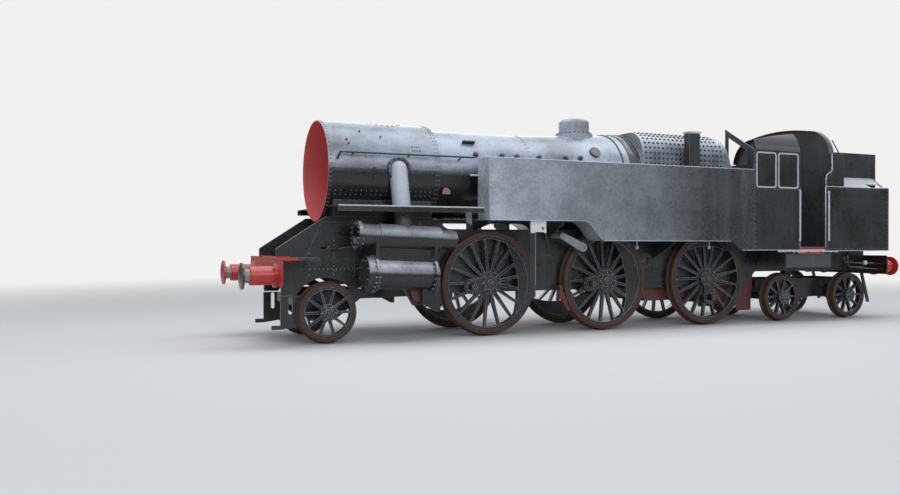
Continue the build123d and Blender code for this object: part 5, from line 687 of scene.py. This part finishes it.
def add_piece(name, finish, mesh, body="engine", smooth=False):
    """Makes an object of a finished mesh, and lets it ride on a body of the engine."""
    data = bpy.data.meshes.new(name)
    bmesh.ops.recalc_face_normals(mesh, faces=mesh.faces)
    mesh.to_mesh(data)
    mesh.free()
    data.materials.append(finish)
    if smooth:
        data.polygons.foreach_set("use_smooth", [True] * len(data.polygons))
    thing = bpy.data.objects.new(name, data)
    bpy.context.scene.collection.objects.link(thing)
    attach(thing, body)
    print(name, "has", len(data.polygons), "faces and rides on", body)


print("a row of one metre at 85 mm has", len(line((0, 0, 0), (1, 0, 0), 0.085)), "rivets")

# %% [markdown]
# The smokebox is a rolled drum. Rivets close it at both ends and hold it to the saddle, and a
# ring of them marks where the chimney stood. The boiler's own rings are joined the same way.
# Their heads are painted pale, a painted highlight, so they read as pale dots on the dark lower half.

# %% Rivets of the smokebox and the boiler
SMOKEBOX_R = 0.825
BARREL_R = 0.76
THROAT_R = 0.885
RING_RIVET_R = 0.013
SADDLE_RIVET_R = 0.012
SADDLE_RIVET_PITCH = 0.085
SADDLE_ROWS = (-25, -30, -37)
SADDLE_BACK_X = 3.80
SADDLE_FRONT_X = 5.40
CHIMNEY_X = 4.384
CHIMNEY_RING_R = 0.30
CHIMNEY_RIVETS = 20
CHIMNEY_RIVET_R = 0.014
# Columns: place along the engine, radius of the drum, rivets in the ring
DRUM_RINGS = (
    (3.662, SMOKEBOX_R, 66),
    (3.712, SMOKEBOX_R, 66),
    (5.492, SMOKEBOX_R, 72),
    (1.905, BARREL_R, 54),
    (1.865, BARREL_R, 54),
    (-0.36, THROAT_R, 60),
)


def on_boiler(x, radius, degrees):
    """A place on the boiler's skin, by degrees up from the left side, and how the skin faces."""
    angle = radians(degrees)
    facing = Vector((0, cos(angle), sin(angle)))
    return Vector((x, 0, BOILER_Z)) + facing * radius, facing


work = bmesh.new()
for x, radius, count in DRUM_RINGS:
    for i in range(count):
        turned(work, *on_boiler(x, radius, 360 * i / count), rivet(RING_RIVET_R))
for degrees in SADDLE_ROWS:
    for point in line((SADDLE_BACK_X, 0, 0), (SADDLE_FRONT_X, 0, 0), SADDLE_RIVET_PITCH):
        for angle in (degrees, 180 - degrees):
            turned(work, *on_boiler(point.x, SMOKEBOX_R, angle), rivet(SADDLE_RIVET_R))
for across, y in around(CHIMNEY_RIVETS, CHIMNEY_RING_R):
    facing = Vector((0, y, sqrt(SMOKEBOX_R**2 - y**2)))
    turned(work, (CHIMNEY_X + across, y, BOILER_Z + facing.z), facing, rivet(CHIMNEY_RIVET_R, 0.01))
add_piece("smokebox_and_boiler_rivets", highlighted_rivet_heads, work)

# %% [markdown]
# Things that used to hold something else are left on the bare boiler: a patch of eight rivets
# behind the steam pipe, single studs, round pads along the barrel, and the ring of nuts on the
# flange where the feed water enters. They are set by degrees up from the side, and mirrored.

# %% Studs and pads of the boiler
PATCH_COLUMNS = (4.11, 4.07, 4.03, 3.99)
PATCH_ROWS = (23, 28)
PATCH_RIVET_R = 0.012
LOOSE_STUD_R = 0.016
# Columns: place along the engine, degrees up from the side
LOOSE_STUDS = (
    (5.20, 34), (5.178, 29), (4.79, 1), (4.784, -10), (5.24, -24), (5.213, -36), (4.95, 48), (4.62, 40),
)
PAD_PLACES = (2.95, 2.45, 2.16, 1.72, 1.2, 0.9)
PAD_DEGREES = 24
PAD_PROFILE = ((0.05, -0.02), (0.05, 0.02), (0.035, 0.03), (0.035, 0.055), (0.02, 0.06))
TAPER_FRONT_X = 1.854
TAPER_LENGTH = 2.237
FEED_X = 0.557
FEED_DEGREES = 33
FEED_REACH = 0.845
FEED_RING_R = 0.086
FEED_STUD_R = 0.014

work = bmesh.new()
for x in PATCH_COLUMNS:
    for degrees in PATCH_ROWS:
        for angle in (degrees, 180 - degrees):
            turned(work, *on_boiler(x, SMOKEBOX_R, angle), rivet(PATCH_RIVET_R))
for x, degrees in LOOSE_STUDS:
    for angle in (degrees, 180 - degrees):
        turned(work, *on_boiler(x, SMOKEBOX_R, angle), stud(LOOSE_STUD_R), 6)
for x in PAD_PLACES:
    taper = max(0, TAPER_FRONT_X - x) / TAPER_LENGTH
    radius = BARREL_R + (THROAT_R - BARREL_R) * taper
    for angle in (PAD_DEGREES, 180 - PAD_DEGREES):
        turned(work, *on_boiler(x, radius, angle), PAD_PROFILE, 12)
for angle in (FEED_DEGREES, 180 - FEED_DEGREES):
    place, facing = on_boiler(FEED_X, FEED_REACH, angle)
    along = Vector((1, 0, 0))
    for across, up in around(12, FEED_RING_R):
        point = place + along * across + along.cross(facing) * up
        turned(work, point, facing, stud(FEED_STUD_R, 0.02), 6)
add_piece("boiler_studs_and_pads", oily_black, work)

# %% [markdown]
# The firebox is held together by stays: hundreds of iron rods through the water space, whose
# ends show as rows of dots on its side. Its side is flat, then turns over into the top along
# an arc, so one function gives the place and the facing for any distance up that line. Its back
# plate slopes forward, so the last columns stop short of the top.

# %% Firebox stays
FIREBOX_HALF = 0.84
FIREBOX_TOP = 3.64
FIREBOX_CORNER = 0.40
STAY_PITCH = 0.098
STAY_R = 0.024
STAY_ROWS = range(-3, 9)
STAY_COLUMNS = 19
STAY_FRONT_X = -0.47
SLOPE_X = -2.2
SLOPE_UP = 0.2


def on_firebox(x, up):
    """A place on the firebox, with up measured from where its corner arc starts, and its facing."""
    corner_y = FIREBOX_HALF - FIREBOX_CORNER
    corner_z = FIREBOX_TOP - FIREBOX_CORNER
    if up < 0:
        return Vector((x, FIREBOX_HALF, corner_z + up)), Vector((0, 1, 0))
    angle = up / FIREBOX_CORNER
    if angle < pi / 2:
        facing = Vector((0, cos(angle), sin(angle)))
        return Vector((x, corner_y, corner_z)) + facing * FIREBOX_CORNER, facing
    return Vector((x, corner_y - (up - FIREBOX_CORNER * pi / 2), FIREBOX_TOP)), Vector((0, 0, 1))


work = bmesh.new()
for row in STAY_ROWS:
    for column in range(STAY_COLUMNS):
        x = STAY_FRONT_X - column * STAY_PITCH
        up = row * STAY_PITCH
        if x < SLOPE_X and up > SLOPE_UP:
            continue
        place, facing = on_firebox(x, up)
        for side in SIDES:
            turned(work, (x, side * place.y, place.z), (0, side * facing.y, facing.z), rivet(STAY_R))
add_piece("firebox_stays", oily_black, work)

# %% [markdown]
# The dome's cover is off, and what stands up is the bare drum with a ring of studs on its
# flange. Where each steam pipe leaves the smokebox, a bolted flange closes the hole round it. It
# is a turned ring like any other, only larger, and it tilts up a little as the pipe does.

# %% Dome studs and steam pipe flanges
DOME_X = 0.561
DOME_FLANGE_TOP = 3.601
DOME_STUDS = 24
DOME_STUD_RING_R = 0.318
DOME_STUD_R = 0.017
PIPE_X = 4.376
PIPE_Z = 2.75
PIPE_LEAN = 0.1
FLANGE_Y = 0.81
FLANGE_FACE_Y = 0.855
FLANGE_STUDS = 12
FLANGE_STUD_RING_R = 0.178
FLANGE_STUD_R = 0.014
FLANGE_PROFILE = ((0.20, -0.10), (0.205, 0.035), (0.19, 0.05), (0.15, 0.055), (0.15, 0.03))

work = bmesh.new()
for along, across in around(DOME_STUDS, DOME_STUD_RING_R):
    turned(work, (DOME_X + along, across, DOME_FLANGE_TOP), (0, 0, 1), stud(DOME_STUD_R), 6)
for side in SIDES:
    facing = (0, side, PIPE_LEAN)
    turned(work, (PIPE_X, side * FLANGE_Y, PIPE_Z), facing, FLANGE_PROFILE, 28)
    for along, up in around(FLANGE_STUDS, FLANGE_STUD_RING_R):
        place = (PIPE_X + along, side * FLANGE_FACE_Y, PIPE_Z + up)
        turned(work, place, facing, stud(FLANGE_STUD_R, 0.02), 6)
add_piece("dome_studs_and_pipe_flanges", oily_black, work)

# %% [markdown]
# The cylinders lean: their centre line points at the middle driving axle. So their studs are
# placed along that line, by how far they are forward of the middle of the cylinder and how far
# above the bore. Each cover's studs show on both sides of its flange.

# %% Cylinder studs
BORE_TILT = radians(2.47)
BORE_X = 4.344
BORE_PLACE = Vector((BORE_X, 0, 1.062))
CYLINDER_Y = 1.04
VALVE_RISE = 0.588
ALONG = Vector((cos(BORE_TILT), 0, sin(BORE_TILT)))
UPWARD = Vector((-sin(BORE_TILT), 0, cos(BORE_TILT)))
# Columns: place along the bore, height over it, radius of the ring, studs, which way they face, size
STUD_RINGS = (
    (0.56, 0, 0.281, 20, 1, 0.016),
    (0.52, 0, 0.270, 20, -1, 0.016),
    (-0.46, 0, 0.270, 18, -1, 0.016),
    (-0.42, 0, 0.270, 18, 1, 0.016),
    (0.85, VALVE_RISE, 0.195, 14, 1, 0.015),
    (0.79, VALVE_RISE, 0.212, 14, -1, 0.013),
    (0.68, 0, 0.22, 8, 1, 0.012),
)


def bore(forward, y, up):
    """A place by the cylinder's own axes: forward along its bore, out from the engine, and up."""
    return BORE_PLACE + ALONG * forward + UPWARD * up + Vector((0, y, 0))


work = bmesh.new()
for side in SIDES:
    for forward, height, radius, count, way, size in STUD_RINGS:
        for across, up in around(count, radius, 0.5):
            place = bore(forward, side * CYLINDER_Y + across, height + up)
            turned(work, place, ALONG * way, stud(size), 6)
add_piece("cylinder_studs", highlighted_rivet_heads, work)

# %% [markdown]
# Rivets on the frames, the tanks' edges, the cab and the bunker stand in straight lines, and a
# table says where each starts and ends and how far apart its rivets are. They come twice, once
# for each side. The frames have a second plate on them in places, so rivets there start deeper,
# and none hangs in the air where that plate ends.

# %% Rivets in lines
FRAME_Y = 0.666
SIDE_Y = 1.33
# Columns: start (x, z), end (x, z), distance from the centre line, pitch, radius, how deep it starts
SIDE_LINES = (
    ((5.92, 1.16), (5.02, 1.16), FRAME_Y, 0.07, 0.013, 0.012),
    ((5.40, 1.07), (5.40, 1.60), FRAME_Y, 0.07, 0.013, 0.012),
    ((5.80, 1.07), (5.80, 1.40), FRAME_Y, 0.08, 0.013, 0.012),
    ((-2.63, 1.50), (-2.63, 3.30), SIDE_Y, 0.085, 0.009, 0.003),
    ((-2.68, 2.60), (-3.71, 2.60), SIDE_Y, 0.085, 0.009, 0.003),
    ((-4.49, 1.50), (-4.49, 2.64), SIDE_Y, 0.075, 0.009, 0.003),
    ((-6.20, 1.50), (-6.20, 2.64), SIDE_Y, 0.075, 0.009, 0.003),
    ((-4.53, 1.455), (-6.20, 1.455), SIDE_Y, 0.08, 0.009, 0.003),
    ((-4.53, 2.655), (-6.20, 2.655), SIDE_Y, 0.08, 0.009, 0.003),
    ((2.96, 2.02), (2.96, 2.90), SIDE_Y, 0.085, 0.009, 0.003),
    ((2.90, 2.92), (-2.55, 2.92), SIDE_Y, 0.11, 0.008, 0.003),
)
# The middle of a ring of studs on each frame plate
FRAME_RING = (-0.593, 0.668, 1.24)
FRAME_RING_R = 0.112
FRAME_STUD_R = 0.014

work = bmesh.new()
for (x0, z0), (x1, z1), y, pitch, radius, sunk in SIDE_LINES:
    for point in line((x0, y, z0), (x1, y, z1), pitch):
        for side in SIDES:
            turned(work, (point.x, side * y, point.z), (0, side, 0), rivet(radius, sunk))
for side in SIDES:
    ring_on_side(work, side, *FRAME_RING, 8, FRAME_RING_R, stud(FRAME_STUD_R, 0.012))
add_piece("plate_rivets", highlighted_rivet_heads, work)

# %% [markdown]
# Each buffer is held to its beam by four nuts, and has a turned collar where its ram comes out
# of the housing. The beam itself is riveted to the frames behind it, in pairs.

# %% Buffers and beams
BEAM_X = 6.35
BUFFER_FLANGE_X = 6.40
COLLAR_X = 6.72
BUFFER_Y = 0.87
BUFFER_Z = 1.075
BUFFER_NUT_RING_R = 0.152
BUFFER_NUT_R = 0.016
BEAM_RIVET_R = 0.015
BEAM_RIVET_COLUMNS = (0.30, 0.48, 1.17)
BEAM_RIVET_ROWS = (0.97, 1.25)
COLLAR_PROFILE = ((0.128, -0.03), (0.132, 0.0), (0.132, 0.026), (0.122, 0.032), (0.108, 0.032))

work = bmesh.new()
for end in SIDES:
    facing = (end, 0, 0)
    for side in SIDES:
        for across, up in around(4, BUFFER_NUT_RING_R, 0.5):
            place = (end * BUFFER_FLANGE_X, side * BUFFER_Y + across, BUFFER_Z + up)
            turned(work, place, facing, stud(BUFFER_NUT_R), 6)
        for y in BEAM_RIVET_COLUMNS:
            for z in BEAM_RIVET_ROWS:
                turned(work, (end * BEAM_X, side * y, z), facing, rivet(BEAM_RIVET_R))
        turned(work, (end * COLLAR_X, side * BUFFER_Y, BUFFER_Z), facing, COLLAR_PROFILE, 24)
add_piece("buffer_and_beam_bolts", red_enamel, work)

# %% [markdown]
# Each pair of wheels has its own small pieces, and these ride on that pair's body, so that they
# turn with it: a ring of nuts round each hub, and a cap with the dimple that the lathe left in
# the axle's end. A driving wheel also has nuts on its crank pin's end and rivets round the pin's
# boss. The cranks on the right lead those on the left by a quarter turn.

# %% Wheel fittings
DRIVER_Z = 0.892
TRUCK_Z = 0.485
# Columns: body, axle place, height, radius of the ring of nuts, nuts
WHEELS = (
    ("driver_1", 2.744, DRIVER_Z, 0.150, 8),
    ("driver_2", 0.407, DRIVER_Z, 0.150, 8),
    ("driver_3", -1.930, DRIVER_Z, 0.150, 8),
    ("pony_wheels", 5.538, TRUCK_Z, 0.107, 6),
    ("bogie_front_wheels", -3.835, TRUCK_Z, 0.107, 6),
    ("bogie_rear_wheels", -5.689, TRUCK_Z, 0.107, 6),
)
HUB_Y = 0.865
HUB_NUT_R = 0.013
AXLE_CAP_PROFILE = (
    (0.062, -0.01), (0.062, 0.012), (0.05, 0.018), (0.02, 0.018), (0.014, 0.004), (0, 0.002)
)
CRANK_THROW = 0.356
PIN_ANGLES = {"driver_1": -8, "driver_2": -8, "driver_3": -90}
PIN_END_Y = 0.995
PIN_NUTS = 6
PIN_NUT_RING_R = 0.04
PIN_NUT_R = 0.009
BOSS_RIVETS = 8
BOSS_RING_R = 0.088
BOSS_RIVET_R = 0.012

for body, x, z, radius, count in WHEELS:
    work = bmesh.new()
    for side in SIDES:
        ring_on_side(work, side, x, HUB_Y, z, count, radius, stud(HUB_NUT_R))
        turned(work, (x, side * HUB_Y, z), (0, side, 0), AXLE_CAP_PROFILE, 20)
        if body in PIN_ANGLES:
            angle = radians(PIN_ANGLES[body] + (0 if side == 1 else 90))
            pin_x, pin_z = x + CRANK_THROW * cos(angle), z + CRANK_THROW * sin(angle)
            nut, head = stud(PIN_NUT_R), rivet(BOSS_RIVET_R, 0.03)
            ring_on_side(work, side, pin_x, PIN_END_Y, pin_z, PIN_NUTS, PIN_NUT_RING_R, nut)
            ring_on_side(work, side, pin_x, HUB_Y, pin_z, BOSS_RIVETS, BOSS_RING_R, head, 8)
    add_piece(body + "_nuts", wheel_enamel, work, body)

# %% [markdown]
# Edges and thin rods are tubes: a ring of points carried along a path. A curve with a round
# bevel would do the same, but a mesh keeps its few faces as they are when it is exported. The
# beading along the tanks and round the doorway is half round bar, so a thin tube set half into
# the plate reads the same.


# %% Tubes
def tube(mesh, path, radius, sides=8):
    """Adds a tube of even thickness along a path of points."""
    points = [Vector(point) for point in path]
    rings = []
    across = None
    for i, point in enumerate(points):
        ahead = (points[min(i + 1, len(points) - 1)] - points[max(i - 1, 0)]).normalized()
        if across is None:
            across = ahead.orthogonal()
        across = (across - ahead * across.dot(ahead)).normalized()
        other = ahead.cross(across)
        spokes = [across * cos(tau * k / sides) + other * sin(tau * k / sides) for k in range(sides)]
        rings.append([mesh.verts.new(point + spoke * radius) for spoke in spokes])
    for low, high in zip(rings, rings[1:]):
        for k in range(sides):
            mesh.faces.new([low[k], low[(k + 1) % sides], high[(k + 1) % sides], high[k]])
    mesh.faces.new(rings[0][::-1])
    mesh.faces.new(rings[-1])


def on_side(side, path):
    """A path given for the left side, on either side."""
    return [(x, side * y, z) for x, y, z in path]


BEAD_Y = 1.329
LOW_BEAD_Y = 1.327
CORNER_R = 0.027
TANK_TOP = (2.97, 2.957)
tank_corner = [
    (TANK_TOP[0] + CORNER_R * cos(radians(a)), TANK_TOP[1] - CORNER_R + CORNER_R * sin(radians(a)))
    for a in (90, 67.5, 45, 22.5, 0)
]
# Columns: radius, distance from the centre line, corners (x, z)
BEADS = (
    (0.009, BEAD_Y, [(-2.60, 2.957), TANK_TOP, *tank_corner, (2.997, 1.95)]),
    (0.009, BEAD_Y, [(-4.452, 1.50), (-4.452, 2.69)]),
    (0.008, BEAD_Y, [(-3.766, 1.46), (-3.766, 2.63)]),
    (0.009, BEAD_Y, [(-4.46, 2.692), (-6.235, 2.692)]),
    (
        0.010,
        BEAD_Y,
        [(-4.457, 2.69), (-4.457, 2.83), (-4.49, 2.92), (-4.56, 2.97), (-4.63, 3.02), (-4.62, 3.34)],
    ),
    (0.007, LOW_BEAD_Y, [(2.99, 1.944), (1.15, 1.944)]),
    (0.007, LOW_BEAD_Y, [(0.80, 1.606), (-2.03, 1.606)]),
    (0.007, LOW_BEAD_Y, [(-2.31, 1.434), (-3.75, 1.434)]),
    (0.007, LOW_BEAD_Y, [(-4.46, 1.414), (-6.23, 1.414)]),
)

work = bmesh.new()
for side in SIDES:
    for radius, y, corners in BEADS:
        tube(work, [(x, side * y, z) for x, z in corners], radius)
add_piece("edge_beading", grey_undercoat, work, smooth=True)

# %% [markdown]
# Where the boiler meets the firebox, three round bars go over it, oily and black. They are tubes
# too, along a path of places on the boiler's skin.

# %% Bands at the throat
BAND_R = 0.016
BAND_DEGREES = range(-10, 191, 8)
# Columns: place along the engine, radius of the boiler there
BANDS = ((0.02, 0.868), (-0.14, 0.874), (-0.30, 0.882))

work = bmesh.new()
for x, radius in BANDS:
    tube(work, [on_boiler(x, radius, degrees)[0] for degrees in BAND_DEGREES], BAND_R, 6)
add_piece("throat_bands", oily_black, work, smooth=True)

# %% [markdown]
# Thin pipes come next: two that run along under the bunker to the rear beam, the stay behind the
# cab, and the drain pipe in front of the cylinders. Each is a short list of corners.

# %% Small pipes and stays
# Columns: radius, corners on the left side
SMALL_PIPES = (
    (0.019, [(-5.10, 1.2, 1.30), (-5.12, 1.2, 1.20), (-5.16, 1.2, 1.178), (-6.33, 1.2, 1.13)]),
    (0.016, [(-5.20, 1.2, 1.42), (-5.22, 1.2, 1.12), (-5.27, 1.2, 1.08), (-6.33, 1.2, 1.025)]),
    (0.012, [(-5.09, 1.1, 3.38), (-4.88, 1.1, 3.657)]),
    (0.014, [(4.70, 0.80, 1.62), (5.2, 0.75, 1.5), (5.45, 0.66, 1.45)]),
)

work = bmesh.new()
for side in SIDES:
    for radius, path in SMALL_PIPES:
        tube(work, on_side(side, path), radius)
add_piece("small_pipes_and_stays", oily_black, work, smooth=True)

# %% [markdown]
# Plates cut to an outline come from one function, which gives them their real thickness. The
# first are white: the ragged lower edge of the footplate, where the paint has flaked, a bracket
# in front of the tank, and a small fitting on the pipe under the bunker. The ragged edge is a
# row of points at uneven heights, from a seeded draw, so that it is the same each time.


# %% Flaked white edges
def plate(mesh, outline, side, y, thick):
    """Adds an upright plate with an outline of (x, z) corners, from y outward by its thickness."""
    faces = [[mesh.verts.new((x, side * depth, z)) for x, z in outline] for depth in (y, y + thick)]
    count = len(outline)
    for i in range(count):
        j = (i + 1) % count
        mesh.faces.new([faces[0][i], faces[0][j], faces[1][j], faces[1][i]])
    mesh.faces.new(faces[0][::-1])
    mesh.faces.new(faces[1])


EDGE_Y = 1.318
EDGE_THICK = 0.006
EDGE_FRONT_X = -3.20
EDGE_BACK_X = -4.82
EDGE_TOP_Z = 1.44
EDGE_Z = 1.405
EDGE_STEP = 0.033
EDGE_POINTS = 50
EDGE_RAGGED = 0.03
FITTING_PROFILE = ((0.04, -0.02), (0.045, 0.0), (0.045, 0.03), (0.02, 0.035))
LEDGE = ((3.14, 2.68), (3.14, 2.71), (2.90, 2.71), (2.90, 2.68))

work = bmesh.new()
draw = random.Random(7)
for side in SIDES:
    edge = [(EDGE_BACK_X, EDGE_TOP_Z), (EDGE_FRONT_X, EDGE_TOP_Z)]
    for i in range(EDGE_POINTS):
        edge.append((EDGE_FRONT_X - EDGE_STEP * i, EDGE_Z - draw.uniform(0, EDGE_RAGGED)))
    plate(work, edge, side, EDGE_Y, EDGE_THICK)
    turned(work, (-5.68, side * 1.215, 1.165), (0, side, 0), FITTING_PROFILE, 12)
    plate(work, LEDGE, side, 0.88, 0.04)
add_piece("flaked_white_edges", white_undercoat, work)

# %% [markdown]
# Three screwed plugs stand on the valve chest, rusted right through. They stand square to the
# chest, which leans with the cylinder, so their places go by the cylinder's own axes.

# %% Rusty plugs on the valve chest
PLUG_RISE = 0.785
# Columns: place along the engine, radius
PLUGS = ((4.46, 0.055), (4.30, 0.04), (4.14, 0.05))
# Columns: share of the plug's radius, height
PLUG_RINGS = ((1, -0.02), (1, 0.02), (0.7, 0.035), (0.6, 0.075), (0.25, 0.09))

work = bmesh.new()
for side in SIDES:
    for x, size in PLUGS:
        profile = [(size * share, height) for share, height in PLUG_RINGS]
        turned(work, bore(x - BORE_X, side * CYLINDER_Y, PLUG_RISE), UPWARD, profile, 10)
add_piece("rusty_chest_plugs", scale_rust, work)

# %% [markdown]
# Two things are in red primer: the bracket that hangs below each cylinder, and a thin strip
# along the back of the running plate.

# %% Red bracket and strip
DRAIN_BRACKET = ((4.02, 0.84), (4.27, 0.84), (4.20, 0.66), (4.06, 0.60))
RED_STRIP = [(3.50, 0.94, 2.155), (2.99, 0.94, 2.155)]
RED_STRIP_R = 0.012

work = bmesh.new()
for side in SIDES:
    plate(work, DRAIN_BRACKET, side, 0.99, 0.02)
    tube(work, on_side(side, RED_STRIP), RED_STRIP_R)
add_piece("red_drain_bracket_and_strip", red_primer, work)

# %% [markdown]
# The last pieces are dull grey: a bracket under the running plate, the bosses at both ends of
# the reversing arm, the knobs that hang from the bottom of the tank, and the worn edge of the
# link behind the first driving wheel.

# %% Pale bosses and brackets
RUNNING_BRACKET = ((3.14, 2.14), (3.26, 2.14), (3.24, 1.92), (3.14, 1.86))
ARM_Y = 1.01
# Columns: place along the engine, height, radius
ARM_BOSSES = ((1.422, 1.69, 0.042), (1.007, 1.49, 0.075))
# Columns: share of the boss's radius, height; the last two are the dimple in its face
BOSS_RINGS = ((1, -0.01), (1, 0.012), (0.8, 0.02), (0.45, 0.02), (0.4, 0.002), (0, 0.001))
KNOB_PLACES = (0.04, -1.58)
KNOB_Y = 1.25
TANK_BOTTOM_Z = 1.604
KNOB_PROFILE = (
    (0.012, -0.01), (0.012, 0.085), (0.03, 0.095), (0.034, 0.12), (0.03, 0.145), (0.012, 0.155)
)
LINK_EDGE = [(2.103, 1.247, 1.76), (2.103, 1.247, 0.86)]
LINK_EDGE_R = 0.007

work = bmesh.new()
for side in SIDES:
    plate(work, RUNNING_BRACKET, side, 0.942, 0.016)
    for x, z, radius in ARM_BOSSES:
        profile = [(radius * share, height) for share, height in BOSS_RINGS]
        turned(work, (x, side * ARM_Y, z), (0, side, 0), profile, 16)
    for x in KNOB_PLACES:
        turned(work, (x, side * KNOB_Y, TANK_BOTTOM_Z), (0, 0, -1), KNOB_PROFILE, 10)
    tube(work, on_side(side, LINK_EDGE), LINK_EDGE_R)
add_piece("pale_bosses_and_brackets", arm_grey, work)

# %% [markdown]
# Before the script ends it prints two boxes: the imported model's, and that of the dressed one.
# The second has to stay inside the first, because dressing an engine doesn't make it bigger.

# %% Finish
size = {"cad": [list(cad_low), list(cad_high)], "visual": [list(v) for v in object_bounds()]}
print("size", size)
